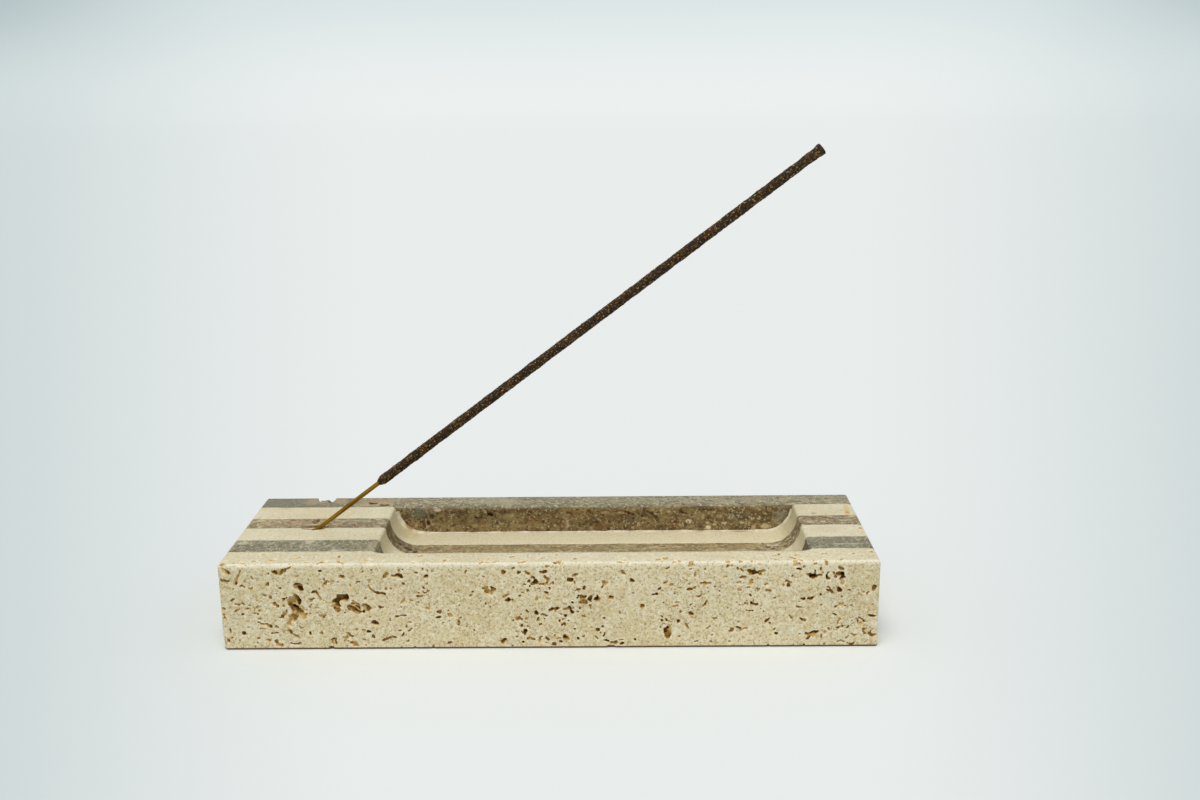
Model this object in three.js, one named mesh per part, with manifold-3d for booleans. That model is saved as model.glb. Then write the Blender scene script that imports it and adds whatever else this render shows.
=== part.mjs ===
// Incense holder: a block of six stone strips, grey and cream in turn, glued face to face.
// An ash tray is sunk into the four inner strips, and a small slanted hole on the middle glue line
// holds one masala incense stick, which leans over the tray and can be drawn out along its hole.
// Millimetres, +Z up. The origin is the middle of the underside, +X runs along the block towards
// the tip of the stick, and -Y is the long face with the deep natural pits.

import * as THREE from "three";
import { RoundedBoxGeometry } from "three/addons/geometries/RoundedBoxGeometry.js";
import { mergeVertices } from "three/addons/utils/BufferGeometryUtils.js";
import Module from "manifold-3d";

const wasm = await Module();
wasm.setup();

// Stone block
const blockLength = 200;
const blockHeight = 28;
const glueThickness = 0.2;
const glueRecess = 0.3;
const arrisRadius = 1;
const arrisSteps = 3;

// The strips from the back to the front, with the width of each. The two drilled ones share the
// hole, which follows the glue line between them.
const strips = [
  { name: "strip_1_grey_back", width: 9.8, stone: "grey", inTray: false, drilled: false },
  { name: "strip_2_cream", width: 10.7, stone: "cream", inTray: true, drilled: false },
  { name: "strip_3_grey", width: 8.3, stone: "grey", inTray: true, drilled: true },
  { name: "strip_4_cream", width: 10.3, stone: "cream", inTray: true, drilled: true },
  { name: "strip_5_grey", width: 9.45, stone: "grey", inTray: true, drilled: false },
  { name: "strip_6_cream_front", width: 10.45, stone: "cream", inTray: false, drilled: false },
];

// Ash tray, with quarter round ends and eased lips
const trayDepth = 9.5;
const landLeft = 46;
const landRight = 20;
const trayEndRadius = 9;
const trayEndSteps = 10;
const lipRadius = 1.5;
const lipSteps = 4;

// Slanted hole
const holeFromLeft = 24.4;
const holeDepth = 15;
const holeDiameter = 2;
const stickElevation = 37;

// Incense stick
const bambooDiameter = 1.4;
const bambooBareLength = 40;
const bambooNose = 0.25;
const coatingDiameter = 3;
const coatingLength = 173.5;
const coatingTaperLength = 4;
const coatingTaperWall = 0.15;
const coatingFlareDiameter = 3.6;
const coatingFlareLength = 2.5;
const coatingTipRound = 0.6;
const coatingBeyondBamboo = 2;

// Clearances
const footGap = 0.3;
const boreGap = 0.1;

// Facets round the hole and the stick, and how far a cutter reaches past what it cuts
const roundSides = 16;
const overshoot = 3;

// The largest natural pits in the front face: the centre is measured from the middle of the block
// and up from its underside, then the width, the height and the depth of each
const frontPits = [
  { x: -81.8, z: 25.4, across: 3.2, tall: 1.4, deep: 0.8 },
  { x: -77.1, z: 13.8, across: 2.8, tall: 4.4, deep: 1.6 },
  { x: -75.6, z: 20.8, across: 2.7, tall: 1.8, deep: 0.9 },
  { x: -63.3, z: 16.2, across: 4.4, tall: 3.6, deep: 1.8 },
  { x: -57.4, z: 13.7, across: 6.0, tall: 2.4, deep: 1.1 },
  { x: -50.8, z: 18.6, across: 3.3, tall: 1.2, deep: 0.7 },
  { x: -45.9, z: 24.2, across: 3.3, tall: 1.6, deep: 1.0 },
  { x: -17.8, z: 19.5, across: 3.4, tall: 1.6, deep: 0.8 },
  { x: -8.0, z: 6.1, across: 1.6, tall: 3.2, deep: 1.0 },
  { x: 36.5, z: 5.4, across: 3.7, tall: 3.4, deep: 1.6 },
  { x: 57.5, z: 6.0, across: 6.5, tall: 1.4, deep: 0.7 },
  { x: 60.9, z: 13.9, across: 4.6, tall: 1.4, deep: 0.8 },
  { x: 62.5, z: 24.5, across: 5.0, tall: 1.8, deep: 1.4 },
  { x: 79.3, z: 15.8, across: 3.0, tall: 1.5, deep: 1.0 },
  { x: 80.0, z: 4.4, across: 4.6, tall: 2.4, deep: 1.2 },
  { x: 80.1, z: 22.9, across: 4.5, tall: 1.6, deep: 1.4 },
  { x: 88.0, z: 24.0, across: 2.4, tall: 3.2, deep: 1.8 },
];

// Chips out of the edges: the two shallow shells broken out of the rear top edge, with a low hump
// between them, measured from the left end of the block, and the worn spots on the front left
// corner, measured up from the underside
const rearNicks = [
  { fromLeft: 18.5, across: 1.8, inward: 3.6, down: 1.5 },
  { fromLeft: 20.4, across: 2.8, inward: 1.6, down: 0.6 },
  { fromLeft: 22.5, across: 2.3, inward: 4.6, down: 1.8 },
];
const cornerChips = [
  { z: 23.4, tall: 1.4, deep: 1.0 },
  { z: 3.2, tall: 3.4, deep: 1.2 },
];
const pitSides = 10;
const pitRings = 6;

// Places worked out from the sizes above
const blockWidth = strips.reduce((sum, strip) => sum + strip.width, 0)
  + glueThickness * (strips.length - 1);
const leftEnd = -blockLength / 2;
const rightEnd = blockLength / 2;
const backFace = blockWidth / 2;
const frontFace = -blockWidth / 2;
const trayLeft = leftEnd + landLeft;
const trayRight = rightEnd - landRight;
const trayFloor = blockHeight - trayDepth;
const stickTilt = THREE.MathUtils.degToRad(90 - stickElevation);

let nextBack = backFace;
const stripPlaces = strips.map((strip) => {
  const back = nextBack;
  const front = back - strip.width;
  nextBack = front - glueThickness;
  return { ...strip, back, front };
});
const gluePlaces = stripPlaces.slice(1).map((strip, index) => ({
  name: `glue_line_${index + 1}_${index + 2}`,
  back: stripPlaces[index].front,
  front: strip.back,
  drilled: strip.drilled && stripPlaces[index].drilled,
}));
const trayBack = stripPlaces[0].front;
const trayFront = stripPlaces[stripPlaces.length - 1].back;
const holeGlue = gluePlaces.find((glue) => glue.drilled);
const holeMouth = new THREE.Vector3(
  leftEnd + holeFromLeft,
  (holeGlue.back + holeGlue.front) / 2,
  blockHeight,
);

const materials = {
  cream: new THREE.MeshStandardMaterial({ color: 0xd2c8a6, roughness: 0.7, metalness: 0 }),
  grey: new THREE.MeshStandardMaterial({ color: 0x948c72, roughness: 0.6, metalness: 0 }),
  glue: new THREE.MeshStandardMaterial({ color: 0xcfc9b4, roughness: 0.5, metalness: 0 }),
  bamboo: new THREE.MeshStandardMaterial({ color: 0x9a7420, roughness: 0.6, metalness: 0 }),
  coating: new THREE.MeshStandardMaterial({ color: 0x3a2a18, roughness: 0.95, metalness: 0 }),
};

// Turns a closed three.js geometry into a solid that can be joined and cut.
function solidFrom(geometry) {
  const bare = geometry.clone();
  bare.deleteAttribute("normal");
  bare.deleteAttribute("uv");
  const merged = mergeVertices(bare);
  const triVerts = new Uint32Array(merged.index.array);
  const vertProperties = new Float32Array(merged.attributes.position.array);
  return new wasm.Manifold(new wasm.Mesh({ numProp: 3, vertProperties, triVerts }));
}

// Turns a solid back into a flat shaded three.js geometry.
function geometryFrom(solid) {
  const mesh = solid.getMesh();
  const indexed = new THREE.BufferGeometry();
  indexed.setAttribute("position", new THREE.BufferAttribute(mesh.vertProperties, 3));
  indexed.setIndex(new THREE.BufferAttribute(mesh.triVerts, 1));
  const geometry = indexed.toNonIndexed();
  geometry.computeVertexNormals();
  return geometry;
}

// A box along the whole block, between two upright planes that its neighbours share exactly.
function slabBetween(front, back, length, bottom, top) {
  const slab = new THREE.BoxGeometry(length, 1, 1);
  const corners = slab.attributes.position;
  for (let index = 0; index < corners.count; index += 1) {
    corners.setY(index, corners.getY(index) > 0 ? back : front);
    corners.setZ(index, corners.getZ(index) > 0 ? top : bottom);
  }
  return slab;
}

// The outside of the whole block, with every arris eased.
function blockEnvelope() {
  const envelope = new RoundedBoxGeometry(
    blockLength, blockWidth, blockHeight, arrisSteps, arrisRadius,
  );
  return envelope.translate(0, 0, blockHeight / 2);
}

// What is sunk into the inner strips: a long trough whose ends are quarter rounds. For the glue
// it is grown all round by the recess of the glue.
function trayTrough(grow) {
  const radius = Math.min(trayEndRadius, trayDepth) + grow;
  const left = trayLeft - grow;
  const right = trayRight + grow;
  const floor = trayFloor - grow;
  const top = blockHeight + overshoot;
  const outline = new THREE.Shape();
  outline.moveTo(left, top);
  outline.lineTo(left, floor + radius);
  outline.absarc(left + radius, floor + radius, radius, Math.PI, 1.5 * Math.PI, false);
  outline.lineTo(right - radius, floor);
  outline.absarc(right - radius, floor + radius, radius, -0.5 * Math.PI, 0, false);
  outline.lineTo(right, top);
  outline.closePath();
  const trough = new THREE.ExtrudeGeometry(outline, {
    depth: trayBack - trayFront + 2 * overshoot,
    bevelEnabled: false,
    curveSegments: trayEndSteps,
  });
  return trough.rotateX(Math.PI / 2).translate(0, trayBack + overshoot, 0);
}

// The flare that eases the tray's lips all round: a stack of rectangles that widens along a
// quarter round up to the top face.
function trayFlare() {
  const levels = [];
  for (let step = 0; step <= lipSteps; step += 1) {
    const angle = (step / lipSteps) * (Math.PI / 2);
    levels.push({
      out: lipRadius * (1 - Math.cos(angle)),
      height: blockHeight - lipRadius * (1 - Math.sin(angle)),
    });
  }
  levels.push({ out: lipRadius, height: blockHeight + overshoot });
  const points = [];
  for (const { out, height } of levels) {
    points.push(trayLeft - out, trayFront - out, height);
    points.push(trayRight + out, trayFront - out, height);
    points.push(trayRight + out, trayBack + out, height);
    points.push(trayLeft - out, trayBack + out, height);
  }
  const faces = [0, 2, 1, 0, 3, 2];
  for (let level = 0; level + 1 < levels.length; level += 1) {
    for (let side = 0; side < 4; side += 1) {
      const low = 4 * level + side;
      const lowNext = 4 * level + ((side + 1) % 4);
      faces.push(low, lowNext, lowNext + 4, low, lowNext + 4, low + 4);
    }
  }
  const last = 4 * (levels.length - 1);
  faces.push(last, last + 1, last + 2, last, last + 2, last + 3);
  const flare = new THREE.BufferGeometry();
  flare.setAttribute("position", new THREE.Float32BufferAttribute(points, 3));
  flare.setIndex(faces);
  return flare;
}

// The slanted hole for the stick, open at the top face and flat at its foot.
function stickHole(grow) {
  const radius = holeDiameter / 2 + grow;
  const depth = holeDepth + grow;
  const hole = new THREE.CylinderGeometry(radius, radius, depth + overshoot, roundSides);
  hole.rotateX(Math.PI / 2);
  hole.translate(0, 0, (overshoot - depth) / 2);
  hole.rotateY(stickTilt);
  return hole.translate(holeMouth.x, holeMouth.y, holeMouth.z);
}

// A rounded hollow of the given half sizes.
function hollow(x, y, z, halfX, halfY, halfZ) {
  const pit = new THREE.SphereGeometry(1, pitSides, pitRings);
  return pit.scale(halfX, halfY, halfZ).translate(x, y, z);
}

function frontFaceHollows() {
  const pits = frontPits.map((pit) => (
    hollow(pit.x, frontFace, pit.z, pit.across / 2, pit.deep, pit.tall / 2)
  ));
  const chips = cornerChips.map((chip) => (
    hollow(leftEnd, frontFace, chip.z, chip.deep, chip.deep, chip.tall / 2)
  ));
  return [...pits, ...chips];
}

function rearEdgeHollows() {
  return rearNicks.map(({ fromLeft, across, inward, down }) => (
    hollow(leftEnd + fromLeft, backFace, blockHeight, across / 2, inward, down)
  ));
}

function cut(solid, geometries) {
  return geometries.reduce((left, geometry) => left.subtract(solidFrom(geometry)), solid);
}

function stripGeometry(strip, index) {
  const slab = slabBetween(
    strip.front, strip.back, blockLength + 2 * overshoot, -overshoot, blockHeight + overshoot,
  );
  const cutters = [trayFlare()];
  if (strip.inTray) cutters.push(trayTrough(0));
  if (strip.drilled) cutters.push(stickHole(0));
  if (index === 0) cutters.push(...rearEdgeHollows());
  if (index === strips.length - 1) cutters.push(...frontFaceHollows());
  return geometryFrom(cut(solidFrom(blockEnvelope()).intersect(solidFrom(slab)), cutters));
}

function glueGeometry(glue) {
  const film = slabBetween(
    glue.front, glue.back, blockLength - 2 * glueRecess, glueRecess, blockHeight - glueRecess,
  );
  const cutters = [trayTrough(glueRecess)];
  if (glue.drilled) cutters.push(stickHole(glueRecess));
  return geometryFrom(cut(solidFrom(film), cutters));
}

// The split bamboo core, from its foot in the hole up into the coating.
function bambooGeometry() {
  const radius = bambooDiameter / 2;
  const length = bambooBareLength + coatingLength - coatingBeyondBamboo;
  const profile = [
    new THREE.Vector2(0, 0),
    new THREE.Vector2(radius - bambooNose, 0),
    new THREE.Vector2(radius, bambooNose),
    new THREE.Vector2(radius, length),
    new THREE.Vector2(0, length),
  ];
  return new THREE.LatheGeometry(profile, roundSides).rotateX(Math.PI / 2);
}

// The rolled incense paste: a sleeve with a blind bore for the bamboo, drawn out thin at its lower
// end and a little swollen at its tip.
function coatingGeometry() {
  const bore = bambooDiameter / 2 + boreGap;
  const low = bambooBareLength;
  const high = bambooBareLength + coatingLength;
  const boreEnd = high - coatingBeyondBamboo + boreGap;
  const body = coatingDiameter / 2;
  const flare = coatingFlareDiameter / 2;
  const profile = [
    new THREE.Vector2(0, boreEnd),
    new THREE.Vector2(bore, boreEnd),
    new THREE.Vector2(bore, low),
    new THREE.Vector2(bore + coatingTaperWall, low),
    new THREE.Vector2(body, low + coatingTaperLength),
    new THREE.Vector2(body, high - coatingFlareLength),
    new THREE.Vector2(flare, high - coatingTipRound),
    new THREE.Vector2(flare - coatingTipRound, high),
    new THREE.Vector2(0, high),
  ];
  return new THREE.LatheGeometry(profile, roundSides).rotateX(Math.PI / 2);
}

function namedMesh(name, geometry, material) {
  const mesh = new THREE.Mesh(geometry, material.clone());
  mesh.name = name;
  return mesh;
}

const block = new THREE.Group();
stripPlaces.forEach((strip, index) => {
  block.add(namedMesh(strip.name, stripGeometry(strip, index), materials[strip.stone]));
});
for (const glue of gluePlaces) {
  block.add(namedMesh(glue.name, glueGeometry(glue), materials.glue));
}

// The stick stands on the foot of the hole, in line with it.
const stick = new THREE.Group();
stick.add(namedMesh("bamboo_core", bambooGeometry(), materials.bamboo));
stick.add(namedMesh("incense_coating", coatingGeometry(), materials.coating));
for (const piece of stick.children) piece.position.z = footGap - holeDepth;
stick.position.copy(holeMouth);
stick.rotation.y = stickTilt;

const holder = new THREE.Group();
holder.add(block, stick);

export default holder;
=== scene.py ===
"""Incense holder: a striped stone block with a sunken ash tray and one incense stick.

Sizes are millimetres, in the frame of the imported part: +Z up, +X towards the tip of the stick and
-Y the pitted long face. Meshes are turned into metres when they are made.
"""

import math

import bpy
import numpy as np
import openvdb
from mathutils import Matrix, Vector


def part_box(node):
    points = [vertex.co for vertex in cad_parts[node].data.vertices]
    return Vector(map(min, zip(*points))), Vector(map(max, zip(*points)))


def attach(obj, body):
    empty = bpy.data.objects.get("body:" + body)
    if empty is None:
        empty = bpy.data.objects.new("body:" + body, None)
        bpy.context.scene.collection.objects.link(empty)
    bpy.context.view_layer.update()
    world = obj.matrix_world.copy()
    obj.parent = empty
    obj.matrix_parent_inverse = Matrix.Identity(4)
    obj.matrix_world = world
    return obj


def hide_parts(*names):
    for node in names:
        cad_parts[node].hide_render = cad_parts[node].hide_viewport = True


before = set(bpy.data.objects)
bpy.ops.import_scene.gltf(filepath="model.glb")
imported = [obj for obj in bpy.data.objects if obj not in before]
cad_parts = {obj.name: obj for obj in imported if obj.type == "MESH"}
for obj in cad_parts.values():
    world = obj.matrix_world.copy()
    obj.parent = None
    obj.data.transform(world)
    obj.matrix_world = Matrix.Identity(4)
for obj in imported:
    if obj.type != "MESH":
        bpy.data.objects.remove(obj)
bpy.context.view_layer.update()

MM = 0.001


def box_mm(node):
    """The lower and the upper corner of a node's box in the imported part."""
    low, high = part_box(node)
    return np.array(low) / MM, np.array(high) / MM


# The strips of the block, from the back to the front
STRIPS = [
    "strip_1_grey_back",
    "strip_2_cream",
    "strip_3_grey",
    "strip_4_cream",
    "strip_5_grey",
    "strip_6_cream_front",
]
HOLE_STRIPS = STRIPS[2:4]
FRONT_STRIP = STRIPS[5]
strip_boxes = {name: box_mm(name) for name in STRIPS}

# Half the width of a glue line
HALF_GLUE = 0.1

# The block, whose edges are worn rounder above than below, and the heights between which that
# changes
LEFT, BACK, TOP = -100.0, 30.0, 28.0
RIGHT, FRONT = -LEFT, -BACK
ARRIS = 1.0
LOWER_ARRIS = 0.35
WEAR_FROM, WEAR_TO = 2, 20

# The ash tray and the radii to which its lips are eased
TRAY_LEFT, TRAY_RIGHT = -54.0, 80.0
TRAY_BACK = strip_boxes["strip_2_cream"][1][1] + 2 * HALF_GLUE
TRAY_FRONT = strip_boxes["strip_5_grey"][0][1] - 2 * HALF_GLUE
TRAY_FLOOR = 18.5
TRAY_END_RADIUS = 9.0
FRONT_LIP, BACK_LIP, LEFT_LIP, RIGHT_LIP = 2.3, 1.5, 1.0, 1.1

# The slanted hole and the stick in it
STICK_ELEVATION = math.radians(37)
HOLE_MOUTH = np.array([-75.6, 0.7, TOP])
STICK_AXIS = np.array([math.cos(STICK_ELEVATION), 0.0, math.sin(STICK_ELEVATION)])
HOLE_RADIUS = 1.0
HOLE_DEPTH = 15.0
STICK_FOOT = -14.7
BAMBOO_RADIUS = 0.7
BAMBOO_BARE = 40.0
COATING_LENGTH = 173.5

# A ripple is the sum of this many waves, which together reach about this high
WAVES = 4
WAVES_HIGH = 2.6


def ripple(x, y, z, seed, wavelength):
    """A smooth wobble between about -1 and 1, another one for each seed."""
    random = np.random.default_rng(seed)
    total = 0.0
    for _ in range(WAVES):
        way = random.normal(size=3)
        way *= 2 * np.pi / (np.linalg.norm(way) * wavelength * random.uniform(0.7, 1.4))
        total = total + np.sin(x * way[0] + y * way[1] + z * way[2] + random.uniform(0, 6.28))
    return total / WAVES_HIGH


def clouds(shape, blur, seed):
    """Random values with spread 1 on a grid, smoothed over blur cells along each axis."""
    values = np.random.default_rng(seed).standard_normal(shape, dtype=np.float32)
    spectrum = np.fft.rfftn(values)
    for axis, (count, width) in enumerate(zip(shape, blur)):
        steps = np.fft.rfftfreq(count) if axis == 2 else np.fft.fftfreq(count)
        line = [1, 1, 1]
        line[axis] = len(steps)
        spectrum *= np.exp(-2 * (np.pi * steps * width) ** 2).reshape(line)
    values = np.fft.irfftn(spectrum, shape)
    return (values / values.std()).astype(np.float32)


def smooth_step(value, low, high):
    """From 0 at low to 1 at high, level at both."""
    share = np.clip((value - low) / (high - low), 0, 1)
    return share * share * (3 - 2 * share)


# Joints between the strips

seams = [
    (strip_boxes[back][0][1] + strip_boxes[front][1][1]) / 2
    for back, front in zip(STRIPS, STRIPS[1:])
]

# Wobbles of every joint: height, first seed and wavelength
SEAM_WOBBLES = [(0.13, 900, 17.0), (0.08, 950, 4.5)]

# Dips of the first joint on the tray's floor: the middle along the block, reach and depth
SEAM_DIPS = [(61, 8, 0.6), (-40, 5, 0.3)]


def seam_at(index, x, z):
    """Where a joint runs, which is straight to within a quarter of a millimetre but for dips."""
    place = seams[index]
    for height, first_seed, wavelength in SEAM_WOBBLES:
        place = place + height * ripple(x, 0 * x, z, first_seed + index, wavelength)
    if index > 0:
        return place
    low = 1 - smooth_step(z, TRAY_FLOOR + 1, TRAY_FLOOR + 4)
    dips = sum(deep * np.exp(-(((x - middle) / reach) ** 2)) for middle, reach, deep in SEAM_DIPS)
    return place - low * dips


# The stone as signed distances, below zero inside it


def rounded_block(x, y, z):
    """The outer form, whose edges are eased less the lower they lie."""
    radius = LOWER_ARRIS + (ARRIS - LOWER_ARRIS) * smooth_step(z, WEAR_FROM, WEAR_TO)
    across = np.abs(x) - (RIGHT - radius)
    along = np.abs(y) - (BACK - radius)
    up = np.abs(z - TOP / 2) - (TOP / 2 - radius)
    outside = np.sqrt(
        np.maximum(across, 0) ** 2 + np.maximum(along, 0) ** 2 + np.maximum(up, 0) ** 2
    )
    inside = np.minimum(np.maximum(np.maximum(across, along), up), 0)
    return outside + inside - radius


def tray_room(x, y, z):
    """The tray: a trough with quarter round ends between two upright walls."""
    middle = (TRAY_LEFT + TRAY_RIGHT) / 2
    end = np.abs(x - middle) - ((TRAY_RIGHT - TRAY_LEFT) / 2 - TRAY_END_RADIUS)
    down = (TRAY_FLOOR + TRAY_END_RADIUS) - z
    outside = np.sqrt(np.maximum(end, 0) ** 2 + np.maximum(down, 0) ** 2)
    trough = outside + np.minimum(np.maximum(end, down), 0) - TRAY_END_RADIUS
    walls = np.abs(y - (TRAY_BACK + TRAY_FRONT) / 2) - (TRAY_BACK - TRAY_FRONT) / 2
    return np.maximum(trough, walls)


def hole_room(x, y, z):
    """The slanted hole, which stays open above its mouth."""
    along = (x - HOLE_MOUTH[0]) * STICK_AXIS[0] + (z - HOLE_MOUTH[2]) * STICK_AXIS[2]
    upright = (z - HOLE_MOUTH[2]) * STICK_AXIS[0] - (x - HOLE_MOUTH[0]) * STICK_AXIS[2]
    around = np.sqrt(upright**2 + (y - HOLE_MOUTH[1]) ** 2) - HOLE_RADIUS
    return np.maximum(around, -HOLE_DEPTH - along)


def lip_radius(x, y):
    """The tray's long lips are eased more than its ends, and the front one the most."""
    long_lip = FRONT_LIP + (BACK_LIP - FRONT_LIP) * smooth_step(y, -5, 5)
    at_left = 1 - smooth_step(x, TRAY_LEFT - 1, TRAY_LEFT + 3)
    at_right = smooth_step(x, TRAY_RIGHT - 3, TRAY_RIGHT + 1)
    return long_lip + (LEFT_LIP - long_lip) * at_left + (RIGHT_LIP - long_lip) * at_right


def ground_stone(x, y, z):
    """The whole block as ground, with the tray and its eased lips, before any pit or chip."""
    block = rounded_block(x, y, z)
    tray = -tray_room(x, y, z)
    radius = lip_radius(x, y)
    eased = np.hypot(np.maximum(block + radius, 0), np.maximum(tray + radius, 0))
    return np.minimum(np.maximum(block, tray), -radius) + eased


class Pit:
    """A crooked pit that follows a line drawn on the ground surface."""

    BREADTH = 0.56
    NARROWEST = 0.3
    ROUGHNESS = 0.34
    WANDER = 0.25
    WANDER_LENGTH = 2.1

    def __init__(self, line, width, depth, across, seed):
        self.line = np.array(line, float)
        self.across = across
        self.half = max(self.BREADTH * width, self.NARROWEST)
        self.depth = depth
        self.seed = seed
        reach = 1.5 * max(self.half, depth) + 0.3
        self.low = self.line.min(axis=0) - reach
        self.high = self.line.max(axis=0) + reach

    def distance(self, x, y, z, below):
        """Below zero in the pit. below is how deep a place lies under the ground surface."""
        moved = [x, y, z]
        for seed, axis in ((self.seed + 2, 0), (self.seed + 3, self.across)):
            moved[axis] = moved[axis] + self.WANDER * ripple(x, y, z, seed, self.WANDER_LENGTH)
        nearest = np.inf
        starts, ends = self.line, self.line[1:]
        if len(self.line) == 1:
            ends = self.line
        for start, end in zip(starts, ends):
            way = end - start
            square = max(float(way @ way), 1e-9)
            share = sum((value - first) * step for value, first, step in zip(moved, start, way))
            share = np.clip(share / square, 0, 1)
            gap = [value - first - share * step for value, first, step in zip(moved, start, way)]
            nearest = np.minimum(nearest, gap[0] ** 2 + gap[1] ** 2 + gap[2] ** 2)
        aside = np.sqrt(np.maximum(nearest - below**2, 0))
        deep = np.maximum(below, 0)
        shape = np.cbrt((aside / self.half) ** 3 + (deep / self.depth) ** 3) - 1
        coarse = ripple(x, y, z, self.seed, 3.4 * self.half)
        rough = coarse + 0.7 * ripple(x, y, z, self.seed + 1, 1.4 * self.half + 0.3)
        return shape * min(self.half, self.depth) + self.ROUGHNESS * self.half * rough


class Chip:
    """A rounded hollow with a rough wall, broken out of an edge."""

    ROUGHNESS = 0.22
    SMALLEST = 0.12

    def __init__(self, centre, halves, seed):
        self.centre = np.array(centre, float)
        self.halves = np.maximum(np.array(halves, float), self.SMALLEST)
        self.seed = seed
        reach = self.halves * (1 + self.ROUGHNESS) + 0.5
        self.low = self.centre - reach
        self.high = self.centre + reach

    def distance(self, x, y, z, below):
        """Below zero in the chip."""
        near = [(value - middle) for value, middle in zip((x, y, z), self.centre)]
        scaled = np.sqrt(sum((value / half) ** 2 for value, half in zip(near, self.halves)))
        steep = np.sqrt(sum((value / half**2) ** 2 for value, half in zip(near, self.halves)))
        plain = scaled * (scaled - 1) / np.maximum(steep, 1e-3)
        size = float(np.sort(self.halves)[1])
        rough = ripple(x, y, z, self.seed, 1.9 * size) + 0.5 * ripple(x, y, z, self.seed + 1, 0.8)
        return plain + self.ROUGHNESS * size * rough


class Volume:
    """Signed distances on a regular grid around one strip.

    field is the stone with what was cut from it, below is how deep a place lies under the ground
    surface, and gap is how far it lies from the nearest pit.
    """

    SKIN_CELLS = 3
    NO_PIT = 9.0

    def __init__(self, low, high, voxel):
        margin = self.SKIN_CELLS * voxel
        self.voxel = voxel
        self.low = np.array(low) - margin
        counts = np.ceil((np.array(high) + margin - self.low) / voxel).astype(int) + 1
        self.axes = [start + voxel * np.arange(count) for start, count in zip(self.low, counts)]
        self.field = ground_stone(*self.places())
        self.below = -self.field
        self.gap = np.full(self.field.shape, self.NO_PIT, np.float32)

    def places(self, window=(slice(None),) * 3):
        """The coordinates of a part of the grid, or of all of it, ready to be combined."""
        x, y, z = (axis[part].astype(np.float32) for axis, part in zip(self.axes, window))
        return x[:, None, None], y[None, :, None], z[None, None, :]

    def window(self, low, high):
        """The part of the grid between two corners, or nothing where they lie outside it."""
        parts = []
        for axis, first, last in zip(self.axes, low, high):
            start, stop = np.searchsorted(axis, (first, last))
            if start == stop:
                return None
            parts.append(slice(start, stop))
        return tuple(parts)

    def carve(self, hollow):
        """Cuts one pit or chip."""
        window = self.window(hollow.low, hollow.high)
        if window:
            room = hollow.distance(*self.places(window), self.below[window])
            self.field[window] = np.maximum(self.field[window], -room)
            self.gap[window] = np.minimum(self.gap[window], room)

    def rim(self, points, reach):
        """One at the very edge of a pit, fading to nothing at reach from it."""
        cells = np.rint((points - self.low) / self.voxel).astype(int)
        cells = np.clip(cells, 0, np.array(self.gap.shape) - 1)
        return np.clip(1 - self.gap[tuple(cells.T)] / reach, 0, 1)

    def surface(self, adaptivity):
        """The surface at zero: points in millimetres, triangles and quads."""
        limit = self.SKIN_CELLS * self.voxel
        grid = openvdb.FloatGrid()
        grid.background = limit
        field = np.ascontiguousarray(np.clip(self.field, -limit, limit), np.float32)
        grid.copyFromArray(field, ijk=(0, 0, 0))
        points, triangles, quads = grid.convertToPolygons(isovalue=0.0, adaptivity=adaptivity)
        return points * self.voxel + self.low, triangles, quads


def largest_part(count, triangles, quads):
    """True for each point of the largest connected part of a mesh."""
    corners = [(triangles, 3), (quads, 4)]
    first = np.concatenate([faces[:, side] for faces, sides in corners for side in range(sides)])
    second = np.concatenate(
        [faces[:, (side + 1) % sides] for faces, sides in corners for side in range(sides)]
    )
    label = np.arange(count)
    while True:
        lower = label.copy()
        np.minimum.at(lower, first, label[second])
        np.minimum.at(lower, second, label[first])
        lower = lower[lower]
        if np.array_equal(lower, label):
            break
        label = lower
    return label == np.bincount(label).argmax()


def object_from(name, points, faces):
    """A mesh object from points in millimetres."""
    mesh = bpy.data.meshes.new(name)
    mesh.from_pydata((np.asarray(points) * MM).tolist(), [], faces)
    mesh.validate()
    piece = bpy.data.objects.new(name, mesh)
    bpy.context.scene.collection.objects.link(piece)
    return piece


def signed_volume(points, triangles, quads):
    """The volume of a closed mesh, below zero where its faces point inwards."""
    total = 0.0
    for corners in (triangles, quads[:, [0, 1, 2]], quads[:, [0, 2, 3]]):
        a, b, c = (points[corners[:, side]] for side in range(3))
        total += np.einsum("ij,ij->i", a, np.cross(b, c)).sum() / 6
    return total


def shade_smoothly(piece, sharp_degrees):
    """Smooth shading that keeps flat stone flat and sharp edges sharp."""
    piece.data.shade_smooth()
    piece.data.set_sharp_from_angle(angle=math.radians(sharp_degrees))
    weighted = piece.modifiers.new("even shading on flats", "WEIGHTED_NORMAL")
    weighted.keep_sharp = True
    weighted.weight = 100


# How far a pit's rim is marked, how much flat stone is thinned out into larger faces, and the
# angle from which an edge is drawn sharp
RIM_REACH = 0.9
ADAPTIVITY = 0.03
SHARP_DEGREES = 40


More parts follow.
